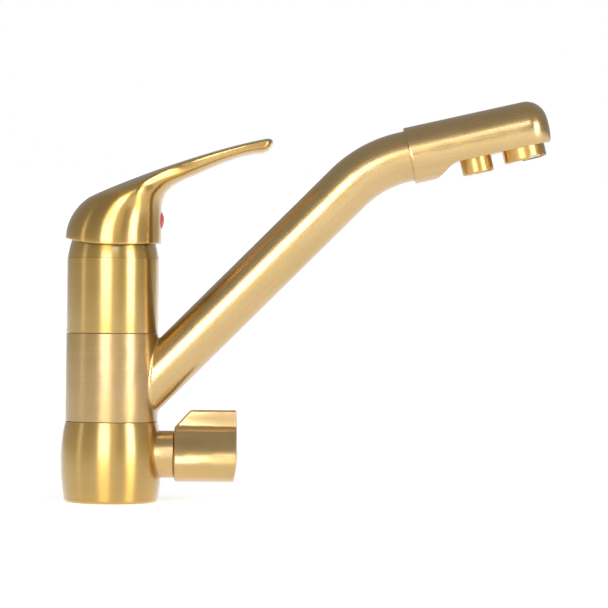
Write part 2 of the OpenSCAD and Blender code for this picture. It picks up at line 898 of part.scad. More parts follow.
// Shares across and down of a creased section at angle a, from 90 at its top to -90: a
// crowned top, a rounded edge, a flat flank and a round underside
function creased(crown, flank, a) =
    let (
        crown_end = [0.93, crown / 1.16],
        edge = [1, crown],
        flank_end = [0.98, flank],
        edge_end = mix(edge, flank_end, 0.15),
        top = (90 - a) / 72,
        round = (18 - a) / 18,
        under = 90 * (-27 - a) / 63
    )
    a >= 18 ? [crown_end[0] * top, crown_end[1] * top * top]
    : a >= 0 ? mix(mix(crown_end, edge, round), mix(edge, edge_end, round), round)
    : a >= -27 ? mix(edge_end, flank_end, -a / 27)
    : [flank_end[0] * cos(under), mix(flank, 1, sin(under))];

// Point of a section at angle a, where 90 is its rear or top
function section_point(s, a) =
    let (
        shares = mix([abs(cos(a)), (1 - sin(a)) / 2], creased(s[3], s[4], asin(sin(a))), s[5]),
        side = cos(a) < 0 ? -1 : 1,
        p = mix(s[0], s[1], shares[1]),
        u = min(1, max(-1, p[0] / skirt_r)),
        dip = s[6] * (1 - u * u) * (1 - 0.35 * u)
    ) [p[0], side * s[2] * shares[0], p[1] - dip];

module lever_form() {
    sections = lever_sections();
    rows = len(sections);
    n = section_points;
    rings = [for (s = sections, j = [0:n - 1]) section_point(s, 360 * j / n)];
    foot_middle = [0, 0, (skirt_front_up + skirt_rear_up) / 2 - foot_sag];
    sides = [
        for (i = [0:rows - 2], j = [0:n - 1], half = [0, 1])
            let (
                a = i * n + j,
                b = i * n + (j + 1) % n,
                c = a + n,
                d = b + n
            )
            half == 0 ? [a, b, d] : [a, d, c]
    ];
    foot = [for (j = [0:n - 1]) [rows * n, (j + 1) % n, j]];
    end = [[for (j = [0:n - 1]) (rows - 1) * n + j]];
    polyhedron(
        points = concat(rings, [foot_middle]), faces = concat(sides, foot, end), convexity = 6
    );
}

index_seat_x = skirt_r - 3;
screw_tip_x = stem_w / 2 + seat_fit;
lever_screw_len = 8;

module lever_handle() {
    boss_r = boss_d / 2;
    rib_w = 10;
    rib_low = dome_rim_up + 0.5;
    color(brass)
        translate([0, 0, pivot_z])
            difference() {
                lever_form();
                // Hollow over the dome, with the stem's boss and the screw's rib left in it
                difference() {
                    sphere(r = hollow_sphere_r);
                    translate([0, 0, boss_up])
                        cylinder(r = boss_r, h = hollow_sphere_r);
                    translate([0, -rib_w / 2, rib_low])
                        cube([hollow_sphere_r, rib_w, hollow_sphere_r]);
                }
                translate([-stem_w / 2 - seat_fit, -stem_w / 2 - seat_fit, 0])
                    cube([stem_w + 2 * seat_fit, stem_w + 2 * seat_fit, stem_up + slide_gap]);
                translate([0, 0, index_up])
                    rotate([0, 90, 0]) {
                        cylinder(r = lever_screw_d / 2 + seat_fit, h = skirt_r + cut);
                        translate([0, 0, index_seat_x])
                            cylinder(r = index_d / 2 + seat_fit, h = 3 + 3 * cut);
                    }
            }
}

module lever_grub_screw() {
    key_d = 2.9;
    key_depth = 3;
    color(steel)
        translate([screw_tip_x, 0, pivot_z + index_up])
            rotate([0, 90, 0])
                difference() {
                    cylinder(d = lever_screw_d, h = lever_screw_len);
                    translate([0, 0, lever_screw_len - key_depth])
                        cylinder(d = key_d, h = key_depth + cut, $fn = 6);
                }
}

// Half of the round index button, turned from angle start round its axis
module index_half(start) {
    button_r = index_d / 2;
    front_x = skirt_r + 0.1 + index_proud;
    crown_r = 1.9 * button_r;
    crown_edge = asin(button_r / crown_r);
    translate([0, 0, pivot_z + index_up])
        rotate([0, 90, 0])
            rotate([0, 0, start])
                rotate_extrude(angle = 180)
                    polygon(concat(
                        [[0, index_seat_x], [button_r, index_seat_x]],
                        arc([0, front_x - crown_r], crown_r, 90 - crown_edge, 90, 6)
                    ));
}

module hot_index() {
    color("#c8202c")
        index_half(180);
}

module cold_index() {
    color("#1d4fa3")
        index_half(0);
}

// Spout

module spout_collar() {
    color(brass)
        difference() {
            turned_ring(collar_bore_r, collar_d / 2, collar_z, collar_h);
            // Socket that the tube is brazed into, ending at a web
            difference() {
                spout_rod(spout_r + seat_fit, 0, collar_bore_r);
                translate([0, 0, collar_z - cut])
                    cylinder(r = tube_seat_r, h = collar_h + 2 * cut);
            }
            // Ports of the filtered and the mixed water
            spout_rod(inner_tube_d / 2 + seat_fit, inner_tube_off, column_r);
            translate([column_r - cut, 0, mixed_z])
                rotate([0, 90, 0])
                    cylinder(d = port_d, h = web_t + 2 * cut);
        }
}

module spout_tube() {
    color(brass)
        difference() {
            union() {
                spout_rod(spout_r, 0, collar_bore_r);
                bend_rod(spout_r, 0);
                head_rod(spout_r, 0, -slide_gap);
                head_rod(tube_spigot_r, 0, socket_depth);
            }
            union() {
                spout_rod(spout_bore_r, 0, 0);
                bend_rod(spout_bore_r, 0);
                head_rod(spout_bore_r, 0, socket_depth + cut);
            }
            translate([0, 0, collar_z])
                cylinder(r = tube_seat_r + seat_fit, h = collar_h);
            on_head()
                translate([socket_depth / 2, 0, 0])
                    rotate([0, 90, 0])
                        ring(tube_spigot_r - 0.5, tube_spigot_r + cut, 0, head_seal_d);
        }
}

module filtered_water_tube() {
    tube_r = inner_tube_d / 2;
    bore_r = tube_r - inner_tube_wall;
    color(nylon)
        difference() {
            union() {
                spout_rod(tube_r, inner_tube_off, column_r);
                bend_rod(tube_r, inner_tube_off);
                head_rod(tube_r, inner_tube_off, head_inner_end);
            }
            union() {
                spout_rod(bore_r, inner_tube_off, 0);
                bend_rod(bore_r, inner_tube_off);
                head_rod(bore_r, inner_tube_off, head_inner_end + cut);
            }
            translate([0, 0, collar_z])
                cylinder(r = collar_bore_r + slide_gap, h = collar_h);
        }
}

// Height of the head's underside at length u
function underside(u) =
    let (t = min(1, max(0, (u - relief_start) / (relief_end - relief_start))))
        mix(-head_r, -head_flat, ease(t));

module head_outside() {
    mouth_break = 0.6;
    steps = 12;
    difference() {
        rotate([0, 90, 0])
            rotate_extrude()
                polygon(concat(
                    [[0, 0], [head_r - mouth_break, 0], [head_r, mouth_break]],
                    arc([head_r - nose_round, head_len - nose_round], nose_round, 0, 90, 12),
                    [[0, head_len]]
                ));
        translate([0, head_r + cut, 0])
            rotate([90, 0, 0])
                linear_extrude(2 * (head_r + cut))
                    polygon(concat(
                        [
                            for (i = [0:steps])
                                let (u = mix(relief_start, relief_end, i / steps))
                                    [u, underside(u)]
                        ],
                        [
                            [head_len + cut, -head_flat], [head_len + cut, -head_r - cut],
                            [relief_start, -head_r - cut]
                        ]
                    ));
    }
}

// Screwed bore, washer ledge and chamber over an outlet of diameter d
module outlet_bore(at, d, top) {
    thread_r = d / 2 - outlet_thread_wall;
    translate([at, 0, -head_flat - cut])
        cylinder(r = thread_r + seat_fit, h = outlet_thread_h + washer_t + cut);
    translate([at, 0, -head_flat])
        cylinder(r = thread_r - chamber_wall, h = head_flat + top);
}

module outlet_head() {
    color(brass)
        on_head()
            difference() {
                head_outside();
                // Socket of the spout tube
                translate([-cut, 0, 0])
                    rotate([0, 90, 0])
                        cylinder(r = tube_spigot_r + seat_fit, h = socket_depth + cut);
                // Filtered way below, mixed way above
                translate([0, 0, filtered_way_up])
                    rotate([0, 90, 0])
                        cylinder(r = inner_tube_d / 2 + seat_fit, h = head_inner_end);
                translate([0, 0, filtered_way_up])
                    rotate([0, 90, 0])
                        cylinder(d = filtered_way_d, h = filtered_at);
                translate([0, 0, mixed_way_up])
                    rotate([0, 90, 0])
                        cylinder(r = mixed_way_r, h = mixed_at);
                outlet_bore(filtered_at, filtered_d, filtered_way_up + filtered_way_d / 2);
                outlet_bore(mixed_at, mixed_outlet_d, mixed_way_up);
            }
}

module head_seal() {
    color(rubber)
        on_head()
            translate([socket_depth / 2, 0, 0])
                rotate([0, 90, 0])
                    ring(tube_spigot_r - 0.5, tube_spigot_r, 0, head_seal_d);
}

// Wedge for a spanner slot, centred on angle a and wider than the rim
module slot_wedge(a, r, h) {
    half = slot_width / 2;
    rotate([0, 0, a])
        linear_extrude(h)
            polygon([
                [0, 0], [2 * r * cos(half), -2 * r * sin(half)],
                [2 * r * cos(half), 2 * r * sin(half)]
            ]);
}

// Outlet ring: screwed neck inside the head, rim with two spanner slots below it
module outlet_ring(at, d, h, slot_angle) {
    thread_r = d / 2 - outlet_thread_wall;
    inner_r = d / 2 - outlet_rim_wall;
    translate([at, 0, -head_flat])
        difference() {
            rotate_extrude()
                polygon(concat(
                    [[0, outlet_thread_h], [0, -h]],
                    arc([d / 2 - rim_round, rim_round - h], rim_round, -90, 0, 6),
                    [[d / 2, 0], [thread_r, 0], [thread_r, outlet_thread_h]]
                ));
            translate([0, 0, -h - cut])
                cylinder(r = inner_r, h = cut + insert_recess + insert_h);
            translate([0, 0, -h])
                cylinder(r = inner_r - outlet_lip_h, h = h + outlet_thread_h + cut);
            for (side = [0, 180])
                translate([0, 0, -h - cut])
                    slot_wedge(slot_angle + side, d / 2, slot_depth + cut);
        }
}

// Perforated insert with its holes in rings of six
module outlet_insert(at, d, h, rings) {
    insert_r = d / 2 - outlet_rim_wall - seat_fit;
    pitch = spray_hole_d + 0.9;
    color(nylon)
        on_head()
            translate([at, 0, -head_flat - h + insert_recess])
                difference() {
                    cylinder(r = insert_r, h = insert_h);
                    translate([0, 0, -cut])
                        cylinder(d = spray_hole_d, h = insert_h + 2 * cut);
                    for (k = [1:rings], j = [0:6 * k - 1])
                        rotate([0, 0, 60 * j / k])
                            translate([k * pitch, 0, -cut])
                                cylinder(d = spray_hole_d, h = insert_h + 2 * cut);
                }
}

module outlet_washer(at, d) {
    thread_r = d / 2 - outlet_thread_wall;
    color(rubber)
        on_head()
            translate([at, 0, 0])
                ring(thread_r - chamber_wall, thread_r, -head_flat + outlet_thread_h, washer_t);
}

mixed_slot_angle = -58;
filtered_slot_angle = -23;

module mixed_outlet_ring() {
    color(brass)
        on_head()
            outlet_ring(mixed_at, mixed_outlet_d, mixed_outlet_h, mixed_slot_angle);
}

module mixed_outlet_insert() {
    outlet_insert(mixed_at, mixed_outlet_d, mixed_outlet_h, 2);
}

module mixed_outlet_washer() {
    outlet_washer(mixed_at, mixed_outlet_d);
}

module filtered_outlet_ring() {
    color(brass)
        on_head()
            outlet_ring(filtered_at, filtered_d, filtered_h, filtered_slot_angle);
}

module filtered_outlet_insert() {
    outlet_insert(filtered_at, filtered_d, filtered_h, 1);
}

module filtered_outlet_washer() {
    outlet_washer(filtered_at, filtered_d);
}

// Filter valve

module valve_headwork() {
    window_w = 5;
    color(raw_brass)
        difference() {
            union() {
                along_valve(valve_fixed_x)
                    cylinder(r = headwork_r, h = headwork_end_x - valve_fixed_x);
                along_valve(neck_seat_x)
                    cylinder(r = neck_inner_r - seat_fit, h = headwork_flange_end_x - neck_seat_x);
            }
            along_valve(valve_fixed_x - cut)
                cylinder(r = valve_cup_r, h = headwork_step_x - valve_fixed_x + cut);
            along_valve(valve_fixed_x)
                cylinder(r = spindle_r + run_fit, h = headwork_end_x - valve_fixed_x + cut);
            // Windows that let the water out above and below
            translate([valve_moving_x + valve_disc_t, -window_w / 2, valve_z - valve_bore_r - cut])
                mirror([1, 0, 0])
                    cube([valve_disc_t, window_w, 2 * (valve_bore_r + cut)]);
        }
}

module valve_neck() {
    color(brass)
        difference() {
            along_valve(neck_seat_x)
                cylinder(r = neck_r_outer, h = neck_end_x - neck_seat_x);
            along_valve(neck_seat_x - cut)
                cylinder(r = neck_inner_r, h = neck_end_x - neck_face_t - neck_seat_x + cut);
            along_valve(neck_seat_x)
                cylinder(r = spindle_r + 0.6, h = neck_end_x - neck_seat_x + cut);
        }
}

module valve_seat_seal() {
    color(rubber)
        along_valve(valve_seat_x)
            ring(valve_disc_r - 2, valve_disc_r, 0, valve_seal_t);
}

// Ceramic disc with two windows a quarter turn wide
module valve_disc(x) {
    window_r = 4.6;
    difference() {
        along_valve(x)
            cylinder(r = valve_disc_r, h = valve_disc_t);
        along_valve(x - cut)
            intersection() {
                cylinder(r = window_r, h = valve_disc_t + 2 * cut);
                union() {
                    translate([0.5, 0.5, 0])
                        cube([window_r, window_r, valve_disc_t + 2 * cut]);
                    translate([-0.5 - window_r, -0.5 - window_r, 0])
                        cube([window_r, window_r, valve_disc_t + 2 * cut]);
                }
            }
    }
}

module valve_fixed_disc() {
    color(ceramic)
        valve_disc(valve_fixed_x);
}

module valve_moving_disc() {
    color(ceramic)
        valve_disc(valve_moving_x);
}

module valve_spindle() {
    color(raw_brass)
        difference() {
            union() {
                along_valve(spindle_flange_x)
                    cylinder(r = valve_disc_r - 0.6, h = spindle_flange_t);
                along_valve(spindle_flange_x)
                    cylinder(r = spindle_r, h = spindle_end_x - spindle_flange_x);
            }
            along_valve(spindle_ring_x - spindle_ring_d / 2 - slide_gap)
                ring(spindle_r - spindle_ring_d - slide_gap, spindle_r + cut, 0,
                    spindle_ring_d + 2 * slide_gap);
        }
}

module spindle_o_ring() {
    color(rubber)
        along_valve(spindle_ring_x)
            o_ring(spindle_r, spindle_ring_d, 0);
}

// Half outline across the knob: round below, widest a little under the axis, then a
// shoulder that runs through a hollow into the wing
function knob_half() =
    let (
        widest = [knob_r, -knob_wide_down],
        crest = [wing_t / 2 + shoulder_out, shoulder_top],
        root = [wing_t / 2, shoulder_top + wing_hollow],
        shoulder = [
            widest, widest + [0, 0.37 * (shoulder_top + knob_wide_down)],
            crest + 0.45 * [knob_r - crest[0], -shoulder_top], crest
        ],
        hollow = [
            crest, crest + 0.2 * wing_hollow * [-1, 1.15], root - [0, 0.45 * wing_hollow], root
        ],
        steps = 10
    )
    concat(
        [
            for (i = [1:steps])
                let (a = 90 * i / steps)
                [knob_r * sin(a), -knob_wide_down - (knob_r - knob_wide_down) * cos(a)]
        ],
        [for (i = [1:steps]) bezier(shoulder, i / steps)],
        [for (i = [1:steps]) bezier(hollow, i / steps)],
        [[wing_t / 2 + wing_flare, wing_up]]
    );

module knob_section() {
    right = knob_half();
    count = len(right);
    polygon(concat(
        [[0, -knob_r]],
        right,
        [for (i = [count - 1:-1:0]) [-right[i][0], right[i][1]]]
    ));
}

// Side view of the knob: the outer end bows back a little above and more below
module knob_side() {
    corner = 2;
    wing_bow = 0.5;
    barrel_bow = 1.7;
    steps = 5;
    polygon(concat(
        [
            [knob_x, -knob_r - cut], [knob_x, wing_slope_up],
            [knob_x + wing_slope_len, wing_up]
        ],
        arc([knob_end_x - wing_bow - corner, wing_up - corner], corner, 90, 10, 4),
        [[knob_end_x - 0.2 * wing_bow, wing_up / 2]],
        [
            for (i = [0:steps])
                let (t = i / steps)
                    [knob_end_x - barrel_bow * t * t, -t * knob_r]
        ],
        [[knob_end_x - barrel_bow, -knob_r - cut]]
    ));
}

module valve_knob() {
    color(brass)
        difference() {
            translate([0, 0, valve_z])
                intersection() {
                    translate([knob_x, 0, 0])
                        rotate([90, 0, 90])
                            linear_extrude(knob_len)
                                knob_section();
                    translate([0, knob_r + cut, 0])
                        rotate([90, 0, 0])
                            linear_extrude(2 * (knob_r + cut))
                                knob_side();
                }
            along_valve(knob_x - cut)
                cylinder(r = spindle_r + seat_fit, h = spindle_end_x - knob_x + cut + slide_gap);
            translate([knob_screw_x, 0, valve_z - knob_r - cut])
                cylinder(r = knob_screw_d / 2 + seat_fit, h = knob_r + cut);
        }
}

module knob_grub_screw() {
    key_d = 2.3;
    key_depth = 2.5;
    color(steel)
        translate([knob_screw_x, 0, valve_z - spindle_r - knob_screw_len])
            difference() {
                cylinder(d = knob_screw_d, h = knob_screw_len);
                translate([0, 0, -cut])
                    cylinder(d = key_d, h = key_depth + cut, $fn = 6);
            }
}

base_body();
base_gasket();
upper_body();
lower_slip_ring();
upper_slip_ring();
column_o_rings();
passage_seals();
cartridge_foot();
cartridge_seals();
fixed_disc();
cartridge_case();
retaining_nut();
dome_cap();
moving_disc();
disc_carrier();
cartridge_rotor();
pivot_pin();
cartridge_stem();
lever_handle();
lever_grub_screw();
hot_index();
cold_index();
spout_collar();
spout_tube();
filtered_water_tube();
outlet_head();
head_seal();
mixed_outlet_ring();
mixed_outlet_insert();
mixed_outlet_washer();
filtered_outlet_ring();
filtered_outlet_insert();
filtered_outlet_washer();
valve_headwork();
valve_neck();
valve_seat_seal();
valve_fixed_disc();
valve_moving_disc();
valve_spindle();
spindle_o_ring();
valve_knob();
knob_grub_screw();
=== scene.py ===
"""Looks of a three-way kitchen mixer tap in brushed brass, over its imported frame."""

import math

import bmesh
import bpy
from mathutils import Matrix, Vector


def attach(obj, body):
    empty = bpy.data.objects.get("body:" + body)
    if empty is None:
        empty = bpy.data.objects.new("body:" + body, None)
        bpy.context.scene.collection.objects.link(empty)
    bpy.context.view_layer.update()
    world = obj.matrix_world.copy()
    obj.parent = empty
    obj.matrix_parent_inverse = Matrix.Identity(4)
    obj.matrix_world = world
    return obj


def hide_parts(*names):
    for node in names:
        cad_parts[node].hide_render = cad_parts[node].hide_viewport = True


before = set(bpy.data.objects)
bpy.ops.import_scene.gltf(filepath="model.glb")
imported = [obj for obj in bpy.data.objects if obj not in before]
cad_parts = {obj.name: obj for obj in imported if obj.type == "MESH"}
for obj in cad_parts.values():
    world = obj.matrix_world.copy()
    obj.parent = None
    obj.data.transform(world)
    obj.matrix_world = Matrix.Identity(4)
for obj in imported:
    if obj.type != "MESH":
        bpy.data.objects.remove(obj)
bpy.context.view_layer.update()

# Sizes in millimetres, with those of the outer shapes as in the part's source

# Clearance of a seat, and the broken edges of turned pieces
FIT = 0.05
EDGE_BREAK = 0.35
SMALL_BREAK = 0.3
FINE_BREAK = 0.1
# Base, column and spigot
BASE_H = 41.9
BASE_FOOT_R = 24.1
BASE_BULGE_R = 26.3
BASE_BULGE_Z = 22.0
BASE_TOP_R = 24.2
FOOT_ROUND = 2.0
GASKET_OUT_R = 21.5
GASKET_IN_R = 18.1
GASKET_T = 2.0
BASE_TOP_EDGE = 0.5
SLIP_WALL = 2.0
SLIP_SEAT_Z = 40.8
COLUMN_R = 18.5
SPIGOT_R = 15.0
SPIGOT_TOP = 96.1
SPIGOT_BREAK = 0.5
# Holes in the base's underside
INLET_R = 4.5
INLET_DEPTH = 12
WATER_X = 4.875
WATER_Y = 6.963
FILTERED_BACK = 9
STUD_R = 3.4
STUD_DEPTH = 14
STUD_BACK = 4.6
STUD_SIDE = 11.4
# Collar, upper body and dome
COLLAR_Z = 42.1
COLLAR_TOP = 87.9
COLLAR_R = 24.0
UPPER_Z = 88.1
UPPER_TOP = 127.1
UPPER_R = 23.9
CASE_BORE_R = 17.55
CASE_SEAT_Z = 104
NUT_BORE_R = 19.9
NUT_SEAT_Z = 120
PIVOT_Z = 130.0
DOME_R = 22.5
DOME_WALL = 1.7
DOME_FOOT_R = 23.8
DOME_TURN_UP = 7.0
DOME_RIM_UP = 13.4
DOME_BORE_R = 19.95
DOME_BORE_UP = 0.6
# Spout tube, braze bead and outlet head
SPOUT_R = 13.25
SPOUT_Z = 42.0
SPOUT_ANGLE = math.radians(45.2)
SPOUT_LEN = 190.9
TUBE_START = 20.6
BEND_R = 60.0
BEAD_SIZE = 1.3
BEAD_SINK = 0.02
HEAD_ANGLE = math.radians(13.0)
BEND_TO_HEAD = 2.5
HEAD_R = 14.9
HEAD_LEN = 74.3
NOSE_ROUND = 10.8
HEAD_FLAT = 8.5
RELIEF_START = 10.0
RELIEF_END = 24.0
SOCKET_DEPTH = 10.0
MOUTH_DEPTH = 1.5
SHOULDER_GAP = 0.1
TUBE_SPIGOT_R = 12.75
# Lever and index
HOLLOW_R = 23.7
BOSS_TOP_UP = 22.3
BOSS_UP = 8
SKIRT_R = 25.0
SKIRT_FRONT_UP = 4.8
SKIRT_REAR_UP = 7.2
SKIRT_TOP_R = 0.91 * SKIRT_R
SHOULDER_UP = 22.2
RIM_ROUND = 0.45
LEVER_REACH = 82.4
LEVER_RISE = 60.1
TIP_T = 7.6
TIP_LEN = 4.3
THROAT_REACH = 15.8
THROAT_RISE = 17.6
BLADE_W = 21.6
BLADE_NECK_W = 19.6
INDEX_UP = 17.0
INDEX_R = 4.5
INDEX_PROUD = 1.25
INDEX_DEPTH = 3
INDEX_CROWN_R = 1.9 * INDEX_R
FRONT_X = SKIRT_R + 0.1
# Filter valve
VALVE_Z = 25.1
NECK_R = 12.3
NECK_BORE_R = 4.6
NECK_START = 21.5
KNOB_X = 33.0
KNOB_GAP = 0.3
KNOB_LEN = 32.6
KNOB_R = 14.2
WING_UP = 23.2
WING_T = 9.0
WING_FLARE = 0.8
WING_HOLLOW = 4.0
SHOULDER_TOP = 12.0
SHOULDER_OUT = 2.5
KNOB_WIDE_DOWN = 4.0
WING_SLOPE_UP = 14.2
WING_SLOPE_LEN = 8.3
KNOB_INNER_ROUND = 1.2
KNOB_OUTER_ROUND = 0.8
# Bow of the knob's outer end above and below its axis, and the heights of the cuts that carry it
WING_BOW = 0.5
KNOB_BOW = 1.7
KNOB_CUTS = -9, -3, 3, 9, 15, 19
# Radius round which each piece's brushed lines are laid out
BODY_LINES_R = 24
VALVE_LINES_R = 12
SPOUT_LINES_R = 14
# Distances below which points are merged, and edges dropped or left uncut
MERGE = 0.0005
TINY = 0.0001
# Steps of a full turn of a turned piece, and points round the tube and its bead
TURN_STEPS = 160
TUBE_POINTS = 96

BEND_ANGLE = SPOUT_ANGLE - HEAD_ANGLE
BEND_TANGENT = BEND_R * math.tan(BEND_ANGLE / 2)
HEAD_GAP = BEND_TANGENT + BEND_TO_HEAD
STRAIGHT = SPOUT_LEN - BEND_TANGENT


def xz(angle):
    """Unit vector in the side plane, at that rise above level."""
    return Vector((math.cos(angle), 0, math.sin(angle)))


SPOUT_DIR = xz(SPOUT_ANGLE)
SPOUT_ROOT = Vector((0, 0, SPOUT_Z))
HEAD_DIR = xz(HEAD_ANGLE)
HEAD_START = SPOUT_ROOT + SPOUT_DIR * SPOUT_LEN + HEAD_DIR * HEAD_GAP
SPOUT_UP = xz(SPOUT_ANGLE + math.pi / 2)
HEAD_UP = xz(HEAD_ANGLE + math.pi / 2)
BEND_CENTRE = SPOUT_ROOT + SPOUT_DIR * STRAIGHT - SPOUT_UP * BEND_R
ACROSS = Vector((0, 1, 0))


# Curves

def mix(a, b, t):
    """Number at share t of the way from a to b."""
    return a + (b - a) * t


def ease(t):
    """Share t with a soft start and end."""
    return t * t * (3 - 2 * t)


def bezier(p, t):
    """Point at share t of the curve with the four control points p."""
    s = 1 - t
    return s**3 * p[0] + 3 * t * s * s * p[1] + 3 * t * t * s * p[2] + t**3 * p[3]


def rounded(corners, steps=5):
    """Profile through (radius, height, rounding) corners, with each one eased by its rounding."""
    points = []
    for i, (r, h, fillet) in enumerate(corners):
        here = Vector((r, h))
        if not fillet or i in (0, len(corners) - 1):
            points.append(here)
            continue
        before = Vector(corners[i - 1][:2]) - here
        after = Vector(corners[i + 1][:2]) - here
        reach = min(fillet, before.length * 0.5, after.length * 0.5)
        start = here + before.normalized() * reach
        end = here + after.normalized() * reach
        for k in range(steps + 1):
            t = k / steps
            points.append((1 - t) ** 2 * start + 2 * t * (1 - t) * here + t * t * end)
    return points


# Making and finishing pieces

UV_PER_RADIAN = 0.02


def spun(profile):
    """Turned piece round the z axis from its (radius, height) profile."""
    bm = bmesh.new()
    verts = [bm.verts.new((p[0], 0, p[1])) for p in profile]
    edges = [bm.edges.new(pair) for pair in zip(verts, verts[1:])]
    bmesh.ops.spin(
        bm, geom=verts + edges, cent=(0, 0, 0), axis=(0, 0, 1),
        angle=2 * math.pi, steps=TURN_STEPS, use_merge=True,
    )
    bmesh.ops.remove_doubles(bm, verts=bm.verts, dist=MERGE)
    bmesh.ops.dissolve_degenerate(bm, dist=TINY, edges=bm.edges)
    return bm


def placed(bm, matrix):
    """The shape moved and turned to its place."""
    bmesh.ops.transform(bm, matrix=matrix, verts=bm.verts)
    return bm


def ring_of(bm, points):
    """Closed ring of edges through the points."""
    made = bmesh.ops.create_circle(bm, cap_ends=False, radius=1, segments=len(points))
    ring = sorted(made["verts"], key=lambda v: math.atan2(v.co.y, v.co.x) % (2 * math.pi))
    for vert, point in zip(ring, points):
        vert.co = point
    return ring


def ring_edges(bm, ring):
    """Edges of a closed ring of vertices."""
    return [bm.edges.get((a, b)) for a, b in zip(ring, ring[1:] + ring[:1])]


def joined(bm, rings):
    """Skins one ring to the next."""
    for a, b in zip(rings, rings[1:]):
        bmesh.ops.bridge_loops(bm, edges=ring_edges(bm, a) + ring_edges(bm, b))


def moved_verts(out):
    """Vertices among what an operator made."""
    return [g for g in out if isinstance(g, bmesh.types.BMVert)]


def moved_edges(out):
    """Edges among what an operator made."""
    return [g for g in out if isinstance(g, bmesh.types.BMEdge)]


def set_brushing(mesh, lines):
    """Gives each vertex its place for the brushed lines, and each corner a UV along them.

    lines(point) is (length along the axis, angle round it, radius)."""
    place = mesh.attributes.new("brushing", "FLOAT_VECTOR", "POINT")
    spots = []
    for vert in mesh.vertices:
        along, angle, radius = lines(vert.co * 1000)
        spots.append((along, angle, radius))
        place.data[vert.index].vector = (
            along / 1000, math.cos(angle) * radius / 1000, math.sin(angle) * radius / 1000,
        )
    uv = mesh.uv_layers.new(name="lines")
    for face in mesh.polygons:
        first = spots[mesh.loops[face.loop_start].vertex_index][1]
        for k in face.loop_indices:
            along, angle, radius = spots[mesh.loops[k].vertex_index]
            turn = angle - first
            turn -= 2 * math.pi * round(turn / (2 * math.pi))
            uv.data[k].uv = (along / 1000, (first + turn) * UV_PER_RADIAN)


def finished(name, bm, body, nodes, material, lines=None, sharp=32):
    """Turns a shape in millimetres into a piece that rides its body in place of its nodes."""
    bmesh.ops.scale(bm, vec=(0.001, 0.001, 0.001), verts=bm.verts)
    bmesh.ops.recalc_face_normals(bm, faces=bm.faces)
    mesh = bpy.data.meshes.new(name)
    bm.to_mesh(mesh)
    bm.free()
    mesh.shade_smooth()
    mesh.set_sharp_from_angle(angle=math.radians(sharp))
    if lines:
        set_brushing(mesh, lines)
    piece = bpy.data.objects.new(name, mesh)
    bpy.context.scene.collection.objects.link(piece)
    mesh.materials.append(material)
    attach(piece, body)
    if nodes:
        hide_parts(*nodes)


def round_body(p):
    """Brushed lines round the tap's upright axis."""
    return p.z, math.atan2(p.y, p.x), BODY_LINES_R


def round_valve(p):
    """Brushed lines round the filter valve's level axis."""
    return p.x, math.atan2(p.z - VALVE_Z, p.y), VALVE_LINES_R


def round_head(p):
    """Place round the outlet head's sloping axis."""
    q = p - HEAD_START
    along = q.dot(HEAD_DIR)
    up = q.z * math.cos(HEAD_ANGLE) - q.x * math.sin(HEAD_ANGLE)
    return along, math.atan2(up, q.y), SPOUT_LINES_R


# Finishes

def nodes_of(name):
    """New material with its node tree and its shader."""
    material = bpy.data.materials.new(name)
    material.use_nodes = True
    tree = material.node_tree
    return material, tree, tree.nodes["Principled BSDF"]


def add(tree, kind, **values):
    """New node with its settings."""
    node = tree.nodes.new(kind)
    for key, value in values.items():
        setattr(node, key, value)
    return node


def stretched(tree, place, scale):
    """Place vector scaled apart along its axes."""
    mapping = add(tree, "ShaderNodeMapping")
    mapping.inputs["Scale"].default_value = scale
    tree.links.new(place, mapping.inputs["Vector"])
    return mapping.outputs["Vector"]


def noise(tree, place, scale, detail, rough):
    """Noise from 0 to 1 over the place vector."""
    node = add(tree, "ShaderNodeTexNoise")
    node.inputs["Scale"].default_value = scale
    node.inputs["Detail"].default_value = detail
    node.inputs["Roughness"].default_value = rough
    tree.links.new(place, node.inputs["Vector"])
    return node.outputs["Fac"]


def spread(tree, value, low, high, out_low, out_high):
    """Range of a value carried over to another range, and held there."""
    node = add(tree, "ShaderNodeMapRange", clamp=True)
    node.inputs["From Min"].default_value = low
    node.inputs["From Max"].default_value = high
    node.inputs["To Min"].default_value = out_low
    node.inputs["To Max"].default_value = out_high
    tree.links.new(value, node.inputs["Value"])
    return node.outputs["Result"]


def blended(tree, factor, a, b):
    """Colour between a and b, each a socket or a colour."""
    node = add(tree, "ShaderNodeMix", data_type="RGBA")
    tree.links.new(factor, node.inputs["Factor"])
    for key, colour in (("A", a), ("B", b)):
        socket = [s for s in node.inputs if s.name == key and s.type == "RGBA"][0]
        if isinstance(colour, tuple):
            socket.default_value = (*colour, 1)
        else:
            tree.links.new(colour, socket)
    return [s for s in node.outputs if s.type == "RGBA"][0]


# Scales of a brass's fine and broad lines over its place vector, whose first axis is its length
LINES_ROUND = (4200, 45, 45), (700, 14, 14)
LINES_ALONG = (60, 2400, 2400), (12, 300, 300)
# Depth of the fine lines in metres, how far they change the roughness, and the lacquer's gloss
LINE_DEPTH = 0.00002
LINE_ROUGH = 0.15
LACQUER_ROUGH = 0.22
LACQUER_IOR = 1.75
# Colour of the painted shade inside the lever's hollow, and the width in metres over which it
# starts
HOLLOW_SHADE_COLOUR = (0.035, 0.025, 0.014)
HOLLOW_SHADE_EDGE = 0.0002

# Brass tones: the ground, the clouds in it, its darker patches and its darker lines
DEEP_TONES = (0.575, 0.335, 0.05), (0.61, 0.36, 0.09), (0.50, 0.30, 0.04), (0.49, 0.285, 0.035)
BODY_TONES = (0.585, 0.36, 0.06), (0.63, 0.38, 0.10), (0.505, 0.32, 0.045), (0.50, 0.305, 0.045)
SATIN_TONES = (0.605, 0.405, 0.145), (0.65, 0.42, 0.185), (0.51, 0.345, 0.10), (0.53, 0.35, 0.11)


